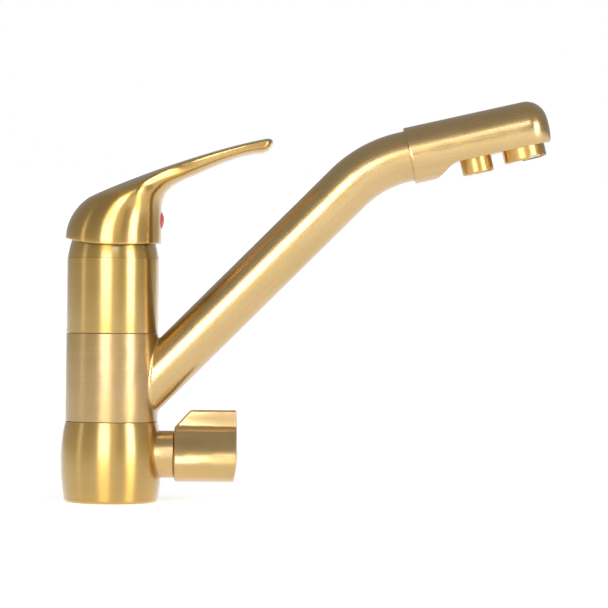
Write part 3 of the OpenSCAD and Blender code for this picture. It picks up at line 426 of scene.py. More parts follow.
def brushed_brass(
    name, tones, rough, cloud, lines=0.3, lacquer=1.0, drawn=0.9, waves=0.0001, along=False,
    hollow_shade_within=0,
):
    """Satin brass with fine lines, cloudy tone and a clear lacquer.

    rough is its roughness. cloud and lines are how strong its clouds and its fine lines are, and
    lacquer the coat over them. drawn is how much longer its shine is across the lines. 0 leaves
    that out, for a CAD node with no brushing of its own, whose lines then lie across its x axis.
    waves is how deep, in metres, the slow unevenness of its polish is. along runs the lines along
    the piece instead of round it. The last argument is the distance in metres from the lever's
    pivot within which the colour is painted dark, as painted shade inside the lever's hollow.
    """
    material, tree, shader = nodes_of(name)
    coords = add(tree, "ShaderNodeTexCoord")
    ground, cloudy, patched, dark_line = tones
    if drawn:
        place = add(tree, "ShaderNodeAttribute", attribute_name="brushing").outputs["Vector"]
    else:
        place = coords.outputs["Object"]
    fine_scale, broad_scale = LINES_ALONG if along else LINES_ROUND
    fine = noise(tree, stretched(tree, place, fine_scale), 1, 3, 0.65)
    broad = noise(tree, stretched(tree, place, broad_scale), 1, 2, 0.5)
    clouds = noise(tree, coords.outputs["Object"], 55, 3, 0.55)
    patches = noise(tree, coords.outputs["Object"], 22, 2, 0.5)
    tone = blended(tree, spread(tree, clouds, 0.35, 0.68, 0, cloud), ground, cloudy)
    tone = blended(tree, spread(tree, patches, 0.5, 0.75, 0, cloud), tone, patched)
    tone = blended(tree, spread(tree, broad, 0.35, 0.75, 0, lines), tone, dark_line)
    # Painted shade: near its pivot, the lever's hollow is painted dark
    if hollow_shade_within:
        reach = add(tree, "ShaderNodeVectorMath", operation="DISTANCE")
        reach.inputs[1].default_value = (0, 0, PIVOT_Z / 1000)
        tree.links.new(coords.outputs["Object"], reach.inputs[0])
        starts, ends = hollow_shade_within - HOLLOW_SHADE_EDGE, hollow_shade_within + HOLLOW_SHADE_EDGE
        shade_mask = spread(tree, reach.outputs["Value"], starts, ends, 1, 0)
        tone = blended(tree, shade_mask, tone, HOLLOW_SHADE_COLOUR)
    tree.links.new(tone, shader.inputs["Base Color"])
    shader.inputs["Metallic"].default_value = 1
    tree.links.new(
        spread(tree, fine, 0.3, 0.7, rough - LINE_ROUGH * lines, rough + LINE_ROUGH * lines),
        shader.inputs["Roughness"],
    )
    shader.inputs["Coat Weight"].default_value = lacquer
    shader.inputs["Coat Roughness"].default_value = LACQUER_ROUGH
    shader.inputs["Coat IOR"].default_value = LACQUER_IOR
    bump = add(tree, "ShaderNodeBump")
    bump.inputs["Strength"].default_value = lines
    bump.inputs["Distance"].default_value = LINE_DEPTH
    tree.links.new(fine, bump.inputs["Height"])
    slow = add(tree, "ShaderNodeBump")
    slow.inputs["Distance"].default_value = waves
    tree.links.new(noise(tree, coords.outputs["Object"], 70, 1, 0.4), slow.inputs["Height"])
    tree.links.new(slow.outputs["Normal"], bump.inputs["Normal"])
    tree.links.new(bump.outputs["Normal"], shader.inputs["Normal"])
    if drawn:
        shader.inputs["Anisotropic"].default_value = drawn
        shader.inputs["Anisotropic Rotation"].default_value = 0.25 if along else 0
        tangent = add(tree, "ShaderNodeTangent", direction_type="UV_MAP", uv_map="lines")
        tree.links.new(tangent.outputs["Tangent"], shader.inputs["Tangent"])
    return material


def plain(name, colour, rough, metal=0.0, grain=400, depth=0.00001, shade=0.85):
    """Moulded, pressed or machined finish with a fine grain and a slightly uneven tone.

    grain is how fine the grain is, depth its depth in metres, and shade the tone of its clouds
    as a share of the colour."""
    material, tree, shader = nodes_of(name)
    coords = add(tree, "ShaderNodeTexCoord")
    speck = noise(tree, coords.outputs["Object"], grain, 3, 0.6)
    clouds = noise(tree, coords.outputs["Object"], 60, 2, 0.5)
    darker = tuple(c * shade for c in colour)
    tone = blended(tree, spread(tree, clouds, 0.35, 0.7, 0, 1), colour, darker)
    tree.links.new(tone, shader.inputs["Base Color"])
    uneven = spread(tree, speck, 0.3, 0.7, rough - 0.04, rough + 0.06)
    tree.links.new(uneven, shader.inputs["Roughness"])
    shader.inputs["Metallic"].default_value = metal
    bump = add(tree, "ShaderNodeBump")
    bump.inputs["Strength"].default_value = 0.4
    bump.inputs["Distance"].default_value = depth
    tree.links.new(speck, bump.inputs["Height"])
    tree.links.new(bump.outputs["Normal"], shader.inputs["Normal"])
    return material


UPPER_BRASS = brushed_brass("upper_brass", BODY_TONES, rough=0.36, cloud=0.4, lines=0.25)
BASE_BRASS = brushed_brass("base_brass", BODY_TONES, rough=0.36, cloud=0.6)
COLLAR_BRASS = brushed_brass(
    "collar_brass", SATIN_TONES, rough=0.44, cloud=0.9, lacquer=0.7, drawn=0.8, waves=0.0006,
)
SPOUT_BRASS = brushed_brass(
    "spout_brass", SATIN_TONES, rough=0.29, cloud=0.6, lines=0.35, lacquer=0.9, drawn=0.25,
    waves=0.0002, along=True,
)
# Within 24.9 mm of its pivot, the lever's hollow is painted dark as painted shade
LEVER_BRASS = brushed_brass(
    "lever_brass", DEEP_TONES, rough=0.29, cloud=0.25, lines=0.1, hollow_shade_within=0.0249,
)
KNOB_BRASS = brushed_brass(
    "knob_brass", SATIN_TONES, rough=0.36, cloud=0.8, lines=0.1, lacquer=0.8, drawn=0.4,
    waves=0.0012,
)
TURNED_BRASS = brushed_brass("turned_brass", DEEP_TONES, rough=0.35, cloud=0.3, drawn=0)
RUBBER = plain("black_rubber", (0.022, 0.023, 0.025), 0.62)
NYLON = plain("white_nylon", (0.74, 0.72, 0.66), 0.42, grain=900)
CERAMIC = plain("polished_ceramic", (0.83, 0.82, 0.78), 0.14, grain=1500, depth=0.000002)
STEEL = plain("screw_steel", (0.46, 0.47, 0.49), 0.34, metal=1.0, grain=1200)
RED = plain("red_plastic", (0.70, 0.09, 0.085), 0.2, grain=700, depth=0.000003)
BLUE = plain("blue_plastic", (0.025, 0.09, 0.42), 0.2, grain=700, depth=0.000003)


# Base, collar, upper body and dome

def bulge_r(z):
    """Radius of the base's bulged side at that height."""
    if z < BASE_BULGE_Z:
        share = (BASE_BULGE_Z - z) / BASE_BULGE_Z
        return BASE_BULGE_R - (BASE_BULGE_R - BASE_FOOT_R) * share**2
    share = (z - BASE_BULGE_Z) / (BASE_H - BASE_BULGE_Z)
    return BASE_BULGE_R - (BASE_BULGE_R - BASE_TOP_R) * share**2


def base_profile():
    """Base from the middle of its underside, over the gasket's groove, to the spigot's top."""
    groove_top = GASKET_T + FIT
    points = [
        Vector((0, 0)), Vector((GASKET_IN_R - FIT, 0)), Vector((GASKET_IN_R - FIT, groove_top)),
        Vector((GASKET_OUT_R + FIT, groove_top)), Vector((GASKET_OUT_R + FIT, 0)),
    ]
    foot = Vector((bulge_r(FOOT_ROUND) - FOOT_ROUND, FOOT_ROUND))
    for k in range(9):
        a = math.radians(-90 + 90 * k / 8)
        points.append(foot + FOOT_ROUND * Vector((math.cos(a), math.sin(a))))
    for k in range(1, 27):
        z = mix(FOOT_ROUND, BASE_H - BASE_TOP_EDGE, k / 26)
        points.append(Vector((bulge_r(z), z)))
    top = bulge_r(BASE_H)
    slip_r = top - SLIP_WALL
    points += rounded([
        (top + 0.01, BASE_H - BASE_TOP_EDGE + 0.05, 0), (top, BASE_H, EDGE_BREAK),
        (slip_r + 0.1, BASE_H, FINE_BREAK), (slip_r, SLIP_SEAT_Z, 0), (COLUMN_R, SLIP_SEAT_Z, 0),
        (COLUMN_R, UPPER_Z, SMALL_BREAK), (SPIGOT_R, UPPER_Z, 0),
        (SPIGOT_R, SPIGOT_TOP, SPIGOT_BREAK), (0, SPIGOT_TOP, 0),
    ], 3)
    return points


def drilled(bm, holes):
    """The shape with blind round holes (x, y, radius, depth) drilled up from z = 0."""
    shapes = [bm]
    for x, y, radius, depth in holes:
        drill = bmesh.new()
        bmesh.ops.create_cone(
            drill, cap_ends=True, segments=48, radius1=radius, radius2=radius, depth=depth + 1,
            matrix=Matrix.Translation((x, y, (depth - 1) / 2)),
        )
        shapes.append(drill)
    made = []
    for shape in shapes:
        bmesh.ops.recalc_face_normals(shape, faces=shape.faces)
        mesh = bpy.data.meshes.new("drill")
        shape.to_mesh(mesh)
        shape.free()
        made.append(bpy.data.objects.new("drill", mesh))
        bpy.context.scene.collection.objects.link(made[-1])
    for drill in made[1:]:
        cut = made[0].modifiers.new("drill", "BOOLEAN")
        cut.operation = "DIFFERENCE"
        cut.solver = "EXACT"
        cut.object = drill
    bpy.context.view_layer.update()
    result = bmesh.new()
    result.from_object(made[0], bpy.context.evaluated_depsgraph_get())
    for thing in made:
        mesh = thing.data
        bpy.data.objects.remove(thing)
        bpy.data.meshes.remove(mesh)
    return result


UNDERSIDE_HOLES = [
    (WATER_X, -WATER_Y, INLET_R, INLET_DEPTH), (WATER_X, WATER_Y, INLET_R, INLET_DEPTH),
    (-FILTERED_BACK, 0, INLET_R, INLET_DEPTH), (-STUD_BACK, STUD_SIDE, STUD_R, STUD_DEPTH),
]

finished(
    "base_turned", drilled(spun(base_profile()), UNDERSIDE_HOLES), "base", ["base_body"],
    BASE_BRASS, round_body,
)

finished("collar_turned", spun(rounded([
    (COLUMN_R + FIT, COLLAR_Z, 0), (COLLAR_R, COLLAR_Z, EDGE_BREAK),
    (COLLAR_R, COLLAR_TOP, EDGE_BREAK), (COLUMN_R + FIT, COLLAR_TOP, 0),
    (COLUMN_R + FIT, COLLAR_Z, 0),
])), "spout", ["spout_collar"], COLLAR_BRASS, round_body)

finished("upper_body_turned", spun(rounded([
    (SPIGOT_R + FIT, UPPER_Z, 0), (UPPER_R, UPPER_Z, EDGE_BREAK), (UPPER_R, UPPER_TOP, SMALL_BREAK),
    (NUT_BORE_R, UPPER_TOP, FINE_BREAK), (NUT_BORE_R, NUT_SEAT_Z, 0), (CASE_BORE_R, NUT_SEAT_Z, 0),
    (CASE_BORE_R, CASE_SEAT_Z, 0), (SPIGOT_R + FIT, CASE_SEAT_Z, 0), (SPIGOT_R + FIT, UPPER_Z, 0),
])), "base", ["upper_body"], UPPER_BRASS, round_body)


def dome_profile():
    """Dome's wall from its foot up the outside to the rim, and down the inside."""
    turn_r = math.sqrt(DOME_R**2 - DOME_TURN_UP**2)
    third = Vector((0, (PIVOT_Z + DOME_TURN_UP - UPPER_TOP) / 3))
    drop = Vector((DOME_FOOT_R - turn_r, 0))
    foot, turn = Vector((DOME_FOOT_R, UPPER_TOP)), Vector((turn_r, PIVOT_Z + DOME_TURN_UP))
    flank = [foot, foot - 0.18 * drop + third, turn + 0.45 * drop - third, turn]
    outer = [bezier(flank, k / 14) for k in range(14)]
    for k in range(11):
        up = mix(DOME_TURN_UP, DOME_RIM_UP, k / 10)
        outer.append(Vector((math.sqrt(DOME_R**2 - up**2), PIVOT_Z + up)))
    inner_r = DOME_R - DOME_WALL
    inner = []
    for k in range(11):
        up = mix(DOME_RIM_UP, DOME_BORE_UP, k / 10)
        inner.append(Vector((math.sqrt(inner_r**2 - up**2), PIVOT_Z + up)))
    return outer + inner + [
        Vector((DOME_BORE_R, PIVOT_Z + DOME_BORE_UP)), Vector((DOME_BORE_R, UPPER_TOP)),
        Vector((DOME_FOOT_R, UPPER_TOP)),
    ]


finished(
    "dome_turned", spun(dome_profile()), "base", ["dome_cap"], UPPER_BRASS,
    round_body,
)


# Spout tube, its brazed joint and the outlet head

def round_tube(p):
    """Place round the tube's axis, through its straight, its bend and its end."""
    q = p - SPOUT_ROOT
    along = q.dot(SPOUT_DIR)
    if along <= STRAIGHT:
        return along, math.atan2(q.dot(SPOUT_UP), q.y), SPOUT_LINES_R
    arm = p - BEND_CENTRE
    turn = SPOUT_ANGLE + math.pi / 2 - math.atan2(arm.z, arm.x)
    if turn <= BEND_ANGLE:
        out = Vector((arm.x, 0, arm.z)).length - BEND_R
        return STRAIGHT + turn * BEND_R, math.atan2(out, q.y), SPOUT_LINES_R
    past = p - HEAD_START
    head_at = STRAIGHT + BEND_ANGLE * BEND_R + BEND_TO_HEAD
    return head_at + past.dot(HEAD_DIR), math.atan2(past.dot(HEAD_UP), past.y), SPOUT_LINES_R


def drawn_out(bm, ends, way, steps):
    """The open end's edges drawn out along the way, in equal steps."""
    for _ in range(steps):
        out = bmesh.ops.extrude_edge_only(bm, edges=ends)["geom"]
        bmesh.ops.translate(bm, vec=way / steps, verts=moved_verts(out))
        ends = moved_edges(out)
    return ends


def spout_tube():
    """Tube from inside the collar, up its straight and round its bend, to its spigot's end."""
    bm = bmesh.new()
    start = Matrix.Translation(SPOUT_ROOT + SPOUT_DIR * TUBE_START)
    made = bmesh.ops.create_circle(
        bm, cap_ends=False, radius=SPOUT_R, segments=TUBE_POINTS,
        matrix=start @ Matrix.Rotation(math.pi / 2 - SPOUT_ANGLE, 4, "Y"),
    )
    ends = list({e for v in made["verts"] for e in v.link_edges})
    ends = drawn_out(bm, ends, SPOUT_DIR * (STRAIGHT - TUBE_START), 40)
    verts = list({v for e in ends for v in e.verts})
    out = bmesh.ops.spin(
        bm, geom=ends + verts, cent=BEND_CENTRE, axis=ACROSS, angle=BEND_ANGLE, steps=28,
    )["geom_last"]
    ends = drawn_out(bm, moved_edges(out), HEAD_DIR * (BEND_TO_HEAD - SHOULDER_GAP), 2)
    shoulder = HEAD_START - HEAD_DIR * SHOULDER_GAP
    out = bmesh.ops.extrude_edge_only(bm, edges=ends)["geom"]
    for v in moved_verts(out):
        v.co = shoulder + (v.co - shoulder) * (TUBE_SPIGOT_R / SPOUT_R)
    drawn_out(bm, moved_edges(out), HEAD_DIR * SOCKET_DEPTH, 2)
    bmesh.ops.holes_fill(bm, edges=bm.edges, sides=0)
    return bm


finished(
    "spout_tube_bent", spout_tube(), "spout", ["spout_tube"], SPOUT_BRASS,
    round_tube,
)


def tube_on_collar(angle, tube_r, collar_r):
    """Where a tube of one radius meets a collar of another, at an angle round the tube."""
    side = math.cos(angle) * tube_r
    rise = math.sin(angle) * tube_r
    reach = (math.sqrt(collar_r**2 - side**2) - rise * SPOUT_UP.x) / SPOUT_DIR.x
    return SPOUT_ROOT + SPOUT_DIR * reach + ACROSS * side + SPOUT_UP * rise


def braze_bead():
    """Small hollow fillet where the tube leaves the collar."""
    bm = bmesh.new()
    steps = 6
    rings = []
    for k in range(steps + 1):
        a = math.pi / 2 * k / steps
        tube_r = SPOUT_R - BEAD_SINK + (1 - math.sin(a)) * BEAD_SIZE
        collar_r = COLLAR_R - BEAD_SINK + (1 - math.cos(a)) * BEAD_SIZE
        rings.append(ring_of(bm, [
            tube_on_collar(2 * math.pi * j / TUBE_POINTS, tube_r, collar_r)
            for j in range(TUBE_POINTS)
        ]))
    joined(bm, rings)
    return bm


finished("braze_bead", braze_bead(), "spout", [], SPOUT_BRASS, round_tube, 60)


def head_ring_points(u, r):
    """Ring of the outlet head at length u, flattened below by the relief."""
    round_steps, flat_steps = 96, 16
    t = min(1, max(0, (u - RELIEF_START) / (RELIEF_END - RELIEF_START)))
    flat = mix(HEAD_R, HEAD_FLAT, ease(t))
    half = math.radians(3)
    if r > flat:
        half = max(half, math.acos(flat / r))
    points = []
    for j in range(round_steps + 1):
        a = -math.pi / 2 + half + (2 * math.pi - 2 * half) * j / round_steps
        points.append((r * math.cos(a), r * math.sin(a)))
    right, left = points[0], points[-1]
    for j in range(1, flat_steps):
        if r > flat:
            points.append((mix(left[0], right[0], j / flat_steps), max(right[1], -flat)))
        else:
            a = -math.pi / 2 - half + 2 * half * j / flat_steps
            points.append((r * math.cos(a), r * math.sin(a)))
    return [HEAD_START + HEAD_DIR * u + ACROSS * y + HEAD_UP * z for y, z in points]


# Steps of the outlet head's rim from its edge outwards, as length and depth under its side
HEAD_RIM = [(0, 0.6), (0.06, 0.35), (0.25, 0.12), (0.6, 0)]


def outlet_head():
    """Head from inside its mouth, over the eased rim and along the relief, to its round nose."""
    bm = bmesh.new()
    mouth_r = TUBE_SPIGOT_R + FIT
    spans = [(MOUTH_DEPTH, mouth_r), (0.15, mouth_r), (0, mouth_r + 0.15)]
    spans += [(u, HEAD_R - under) for u, under in HEAD_RIM]
    lengths = [1.5, 3, 5]
    lengths += [mix(RELIEF_START - 0.4, RELIEF_END + 0.4, k / 26) for k in range(27)]
    lengths += [mix(RELIEF_END + 2, HEAD_LEN - NOSE_ROUND, k / 14) for k in range(15)]
    spans += [(u, HEAD_R) for u in lengths]
    for k in range(1, 25):
        a = math.pi / 2 * k / 24
        spans.append((
            HEAD_LEN - NOSE_ROUND + NOSE_ROUND * math.sin(a),
            HEAD_R - NOSE_ROUND + NOSE_ROUND * math.cos(a),
        ))
    rings = [ring_of(bm, head_ring_points(u, r)) for u, r in spans]
    joined(bm, rings)
    ends = ring_edges(bm, rings[-1]) + ring_edges(bm, rings[0])
    bmesh.ops.holes_fill(bm, edges=ends, sides=0)
    return bm


finished(
    "outlet_head_relieved", outlet_head(), "spout", ["outlet_head"], SPOUT_BRASS,
    round_head, 24,
)


# Lever

REAR_SHOULDER = [
    Vector((-SKIRT_R, 0, SKIRT_REAR_UP)),
    Vector((-SKIRT_R, 0, SKIRT_REAR_UP + 0.415 * SHOULDER_UP)),
    Vector((-0.75 * SKIRT_R, 0, SKIRT_REAR_UP + 0.84 * SHOULDER_UP)),
    Vector((-0.457 * SKIRT_R, 0, SKIRT_REAR_UP + SHOULDER_UP)),
]
TIP_DIR = xz(math.radians(11))
TIP_LEAN = 0.65
TIP_X = LEVER_REACH - TIP_LEN * TIP_DIR.x
TIP_BACK = Vector((TIP_X + TIP_LEAN, 0, LEVER_RISE))
TIP_FRONT = Vector((TIP_X - TIP_LEAN, 0, LEVER_RISE - TIP_T))
TOP_RUN = TIP_BACK - REAR_SHOULDER[3]
REAR_TO_TIP = [
    REAR_SHOULDER[3], REAR_SHOULDER[3] + Vector((0.218 * TOP_RUN.x, 0, 0.31 * TOP_RUN.z)),
    TIP_BACK - Vector((0.313 * TOP_RUN.x, 0, 0.182 * TOP_RUN.z)), TIP_BACK,
]
THROAT = Vector((FRONT_X, 0, INDEX_UP + INDEX_R + 1.1))
THROAT_END = THROAT + Vector((THROAT_REACH, 0, THROAT_RISE))
FRONT_FOOT = Vector((FRONT_X, 0, SKIRT_FRONT_UP))
FRONT_WALL = [FRONT_FOOT, FRONT_FOOT.lerp(THROAT, 1 / 3), FRONT_FOOT.lerp(THROAT, 2 / 3), THROAT]
FRONT_THROAT = [
    THROAT, THROAT + Vector((0, 0, 0.5625 * THROAT_RISE)),
    THROAT + Vector((0.342 * THROAT_REACH, 0, 0.75 * THROAT_RISE)), THROAT_END,
]
UNDER_RUN = TIP_FRONT - THROAT_END
FRONT_BLADE = [
    THROAT_END, THROAT_END + Vector((0.213 * UNDER_RUN.x, 0, 0.276 * UNDER_RUN.z)),
    TIP_FRONT - Vector((0.347 * UNDER_RUN.x, 0, 0.049 * UNDER_RUN.z)), TIP_FRONT,
]
# Share of the top line that the fan takes, and how far down a ring its edge and flank end
FAN_SHARE = 0.44
CROWN_SHARE = 0.2
FLANK_SHARE = 0.62
FLANK_TUCK = 0.98
# Taper of the plan, the length at which it starts, and the roundness of its two knees
TAPER = 0.5
TAPER_START = 10.4
KNEE = 4
TIP_NARROWING = 0.8
FOOT_SAG = 2.1
# Angles of a creased ring at which its crown ends and its flank ends
CROWN_ENDS = 18
FLANK_ENDS = -27


def knee(rise):
    """Rises with its value above nought and stays near nought below, rounded between."""
    return (rise + math.sqrt(rise * rise + KNEE)) / 2


def plan_half(x):
    """Half width of the lever seen from above, tapering from its round skirt to its blade."""
    tapered = SKIRT_TOP_R - knee(TAPER * (x - TAPER_START))
    return BLADE_NECK_W / 2 + knee(tapered - BLADE_NECK_W / 2)


def lever_section(part, t):
    """One ring of the lever, at share t of its skirt, fan, blade or tip.

    It is the rear point, the front point, the half widths at the flank's top and foot, how far
    down these are, and how much of the ring is creased instead of round."""
    if part == "skirt":
        width = mix(SKIRT_R, SKIRT_TOP_R, ease(t))
        return bezier(REAR_SHOULDER, t), bezier(FRONT_WALL, t), width, width, 0.5, 0.5, 0
    if part == "tip":
        rear, front, top, foot, crown, flank, _ = lever_section("blade", 1)
        shrink = math.cos(math.radians(86) * t)
        narrow = shrink**0.45
        middle = (rear + front) / 2
        end = middle + TIP_DIR * TIP_LEN * math.sin(math.pi / 2 * t)
        rear, front = end + (rear - middle) * shrink**0.6, end + (front - middle) * shrink
        return rear, front, top * narrow, foot * narrow, crown, flank, 1 - t
    if part == "fan":
        rear, front = bezier(REAR_TO_TIP, t * FAN_SHARE), bezier(FRONT_THROAT, t)
        crown, flank = mix(0.5, CROWN_SHARE, t**1.6), mix(0.5, FLANK_SHARE, t)
        crease, tapered, wider = ease(min(1, 1.5 * t)), ease(min(1, 1.8 * t)), 0
    else:
        rear, front = bezier(REAR_TO_TIP, mix(FAN_SHARE, 1, t)), bezier(FRONT_BLADE, t)
        crown, flank, crease, tapered = CROWN_SHARE, FLANK_SHARE, 1, 1
        wider = (BLADE_W - BLADE_NECK_W) / 2 * ease(t) - TIP_NARROWING * t**6
    top = plan_half(rear.lerp(front, crown).x) + wider
    foot = FLANK_TUCK * (plan_half(rear.lerp(front, flank).x) + wider)
    top, foot = mix(SKIRT_TOP_R, top, tapered), mix(SKIRT_TOP_R, foot, tapered)
    return rear, front, top, foot, crown, flank, crease


def creased(top, foot, crown, flank, a):
    """Half width and share down of a creased ring at angle a, from 90 at its top to -90.

    It has a crowned top, a rounded edge, a flat flank and a round underside."""
    crown_end = Vector((0.93 * top, crown / 1.16))
    edge = Vector((top, crown))
    flank_end = Vector((foot, flank))
    edge_end = edge.lerp(flank_end, 0.4)
    if a >= CROWN_ENDS:
        t = (90 - a) / (90 - CROWN_ENDS)
        return Vector((crown_end.x * t, crown_end.y * t * t))
    if a >= 0:
        t = (CROWN_ENDS - a) / CROWN_ENDS
        return crown_end.lerp(edge, t).lerp(edge.lerp(edge_end, t), t)
    if a >= FLANK_ENDS:
        return edge_end.lerp(flank_end, a / FLANK_ENDS)
    along = (flank_end - edge_end).normalized()
    reach = 0.45 * (1 - flank)
    under = [
        flank_end, flank_end + along * min(reach / max(along.y, 0.001), 0.3 * foot),
        Vector((0.5 * foot, 1)), Vector((0, 1)),
    ]
    return bezier(under, (FLANK_ENDS - a) / (90 + FLANK_ENDS))


def foot_sag(x, t):
    """How far the skirt's lower edge dips at the sides, fading upwards."""
    u = max(-1, min(1, x / SKIRT_R))
    return FOOT_SAG * (1 - u * u) * (1 - 0.35 * u) * (1 - t) ** 2


def lever_points(part, t):
    """Points of one ring of the lever's skin."""
    count = 120
    rear, front, top, foot, crown, flank, crease = lever_section(part, t)
    points = []
    for j in range(count):
        a = 2 * math.pi * j / count
        side, up = math.cos(a), math.sin(a)
        ring = Vector((top * abs(side), (1 - up) / 2))
        ring = ring.lerp(creased(top, foot, crown, flank, math.degrees(math.asin(up))), crease)
        p = rear.lerp(front, ring.y)
        sag = foot_sag(p.x, t) if part == "skirt" else 0
        points.append(Vector((p.x, math.copysign(ring.x, side), PIVOT_Z + p.z - sag)))
    return points


def lever():
    """Outer skin from the skirt's foot to the tip, and the round hollow with its boss."""
    bm = bmesh.new()
    spans = [("skirt", k / 14) for k in range(15)] + [("fan", k / 26) for k in range(1, 27)]
    spans += [("blade", k / 22) for k in range(1, 23)] + [("tip", k / 12) for k in range(1, 13)]
    outer = [ring_of(bm, lever_points(part, t)) for part, t in spans]
    joined(bm, outer)
    bmesh.ops.holes_fill(bm, edges=ring_edges(bm, outer[-1]), sides=0)
    inner = [outer[0]]
    for k in range(15):
        ring = []
        for v in outer[0]:
            up = mix(v.co.z - PIVOT_Z, BOSS_TOP_UP, k / 14)
            flat = Vector((v.co.x, v.co.y)).normalized() * math.sqrt(HOLLOW_R**2 - up**2)
            ring.append(Vector((flat.x, flat.y, PIVOT_Z + up)))
        inner.append(ring_of(bm, ring))
    inner.append(ring_of(bm, [Vector((v.co.x, v.co.y, PIVOT_Z + BOSS_UP)) for v in inner[-1]]))
    joined(bm, inner)
    bmesh.ops.holes_fill(bm, edges=ring_edges(bm, inner[-1]), sides=0)
    bmesh.ops.bevel(
        bm, geom=ring_edges(bm, outer[0]) + ring_edges(bm, inner[1]), offset=RIM_ROUND,
        offset_type="OFFSET", segments=4, profile=0.5, affect="EDGES", material=-1,
    )
    return bm


finished(
    "lever_skin", lever(), "lever", ["lever_handle"], LEVER_BRASS, round_body, 24,
)


def index_half(start):
    """Half of the index button, from that angle on round its level axis."""
    bm = bmesh.new()
    front, back = FRONT_X + INDEX_PROUD, SKIRT_R - INDEX_DEPTH
    edge = math.asin(INDEX_R / INDEX_CROWN_R)
    profile = [Vector((0, 0, back)), Vector((INDEX_R, 0, back))]
    for k in range(13):
        a = mix(math.pi / 2 - edge, math.pi / 2, k / 12)
        height = front - INDEX_CROWN_R + INDEX_CROWN_R * math.sin(a)
        profile.append(Vector((INDEX_CROWN_R * math.cos(a), 0, height)))
    verts = [bm.verts.new(p) for p in profile]
    face = bm.faces.new(verts)
    bmesh.ops.spin(
        bm, geom=[face] + list(face.edges) + verts, cent=(0, 0, 0), axis=(0, 0, 1),
        angle=math.pi, steps=24,
    )
    bmesh.ops.remove_doubles(bm, verts=bm.verts, dist=MERGE)
    bmesh.ops.dissolve_degenerate(bm, dist=TINY, edges=bm.edges)
    turn = Matrix.Rotation(math.pi / 2, 4, "Y") @ Matrix.Rotation(start, 4, "Z")
    return placed(bm, Matrix.Translation((0, 0, PIVOT_Z + INDEX_UP)) @ turn)


finished("hot_button_half", index_half(math.pi), "lever", ["hot_index"], RED)
finished("cold_button_half", index_half(0), "lever", ["cold_index"], BLUE)


# Filter valve

NECK_PLACE = Matrix.Translation((0, 0, VALVE_Z)) @ Matrix.Rotation(math.pi / 2, 4, "Y")
NECK_END = KNOB_X - KNOB_GAP

finished("valve_neck_turned", placed(spun(rounded([
    (NECK_BORE_R, NECK_START, 0), (NECK_R, NECK_START, 0), (NECK_R, NECK_END, SMALL_BREAK),
    (NECK_BORE_R, NECK_END, 0), (NECK_BORE_R, NECK_START, 0),
])), NECK_PLACE), "base", ["valve_neck"], KNOB_BRASS, round_valve)


def knob_outline():
    """Section across the knob's axis, from the wing's left top corner round to its right one."""
    widest = Vector((KNOB_R, -KNOB_WIDE_DOWN))
    crest = Vector((WING_T / 2 + SHOULDER_OUT, SHOULDER_TOP))
    root = Vector((WING_T / 2, SHOULDER_TOP + WING_HOLLOW))
    shoulder = [
        widest, widest + Vector((0, 0.37 * (SHOULDER_TOP + KNOB_WIDE_DOWN))),
        crest + 0.45 * Vector((KNOB_R - crest.x, -SHOULDER_TOP)), crest,
    ]
    hollow = [
        crest, crest + 0.2 * WING_HOLLOW * Vector((-1, 1.15)),
        root - Vector((0, 0.45 * WING_HOLLOW)), root,
    ]
    half = [Vector((WING_T / 2 + WING_FLARE, WING_UP))]
    half += [bezier(hollow, 1 - k / 12) for k in range(12)]
    half += [bezier(shoulder, 1 - k / 20) for k in range(20)]
    for k in range(25):
        a = math.pi / 2 * k / 24
        below = KNOB_WIDE_DOWN + (KNOB_R - KNOB_WIDE_DOWN) * math.sin(a)
        half.append(Vector((KNOB_R * math.cos(a), -below)))
    return [Vector((-p.x, p.y)) for p in half] + half[-2::-1]


def cut_across(bm, point, normal, clear=False):
    """Cuts the shape by a plane. clear drops what lies on its normal's side."""
    bmesh.ops.bisect_plane(
        bm, geom=bm.verts[:] + bm.edges[:] + bm.faces[:], dist=TINY, plane_co=point,
        plane_no=normal, clear_outer=clear,
    )


def crisp_edges(bm, first, last):
    """Sharp edges that lie past the first x and start before the last."""
    return [
        e for e in bm.edges
        if len(e.link_faces) == 2 and e.calc_face_angle() > math.radians(40)
        and all(first < v.co.x for v in e.verts) and any(v.co.x < last for v in e.verts)
    ]


def valve_knob():
    """Barrel and wing, with a sloped inner end, rounded edges and a bowed outer end."""
    bm = bmesh.new()
    knob_end = KNOB_X + KNOB_LEN
    face = bm.faces.new([
        bm.verts.new((KNOB_X, p.x, VALVE_Z + p.y)) for p in knob_outline()
    ])
    out = bmesh.ops.extrude_face_region(bm, geom=[face])["geom"]
    bmesh.ops.translate(bm, vec=(KNOB_LEN, 0, 0), verts=moved_verts(out))
    slope = Vector((WING_UP - WING_SLOPE_UP, 0, -WING_SLOPE_LEN)).normalized()
    cut_across(bm, (KNOB_X, 0, VALVE_Z + WING_SLOPE_UP), -slope, clear=True)
    bmesh.ops.holes_fill(bm, edges=[e for e in bm.edges if e.is_boundary], sides=0)
    bmesh.ops.recalc_face_normals(bm, faces=bm.faces)
    slope_end = KNOB_X + WING_SLOPE_LEN + 0.1
    for offset, first, last in (
        (KNOB_INNER_ROUND, KNOB_X - 1, slope_end), (KNOB_OUTER_ROUND, slope_end, knob_end + 1),
    ):
        bmesh.ops.bevel(
            bm, geom=crisp_edges(bm, first, last), offset=offset, offset_type="OFFSET",
            segments=5, profile=0.5, affect="EDGES", material=-1, clamp_overlap=False,
        )
    for up in KNOB_CUTS:
        cut_across(bm, (0, 0, VALVE_Z + up), (0, 0, 1))
    for v in bm.verts:
        if v.co.x > knob_end - 1:
            up = v.co.z - VALVE_Z
            bow = WING_BOW * (up / WING_UP) ** 2 if up > 0 else KNOB_BOW * (up / KNOB_R) ** 2
            v.co.x -= bow
    return bm


finished(
    "valve_knob_winged", valve_knob(), "valve", ["valve_knob"], KNOB_BRASS,
    round_valve, 30,
)

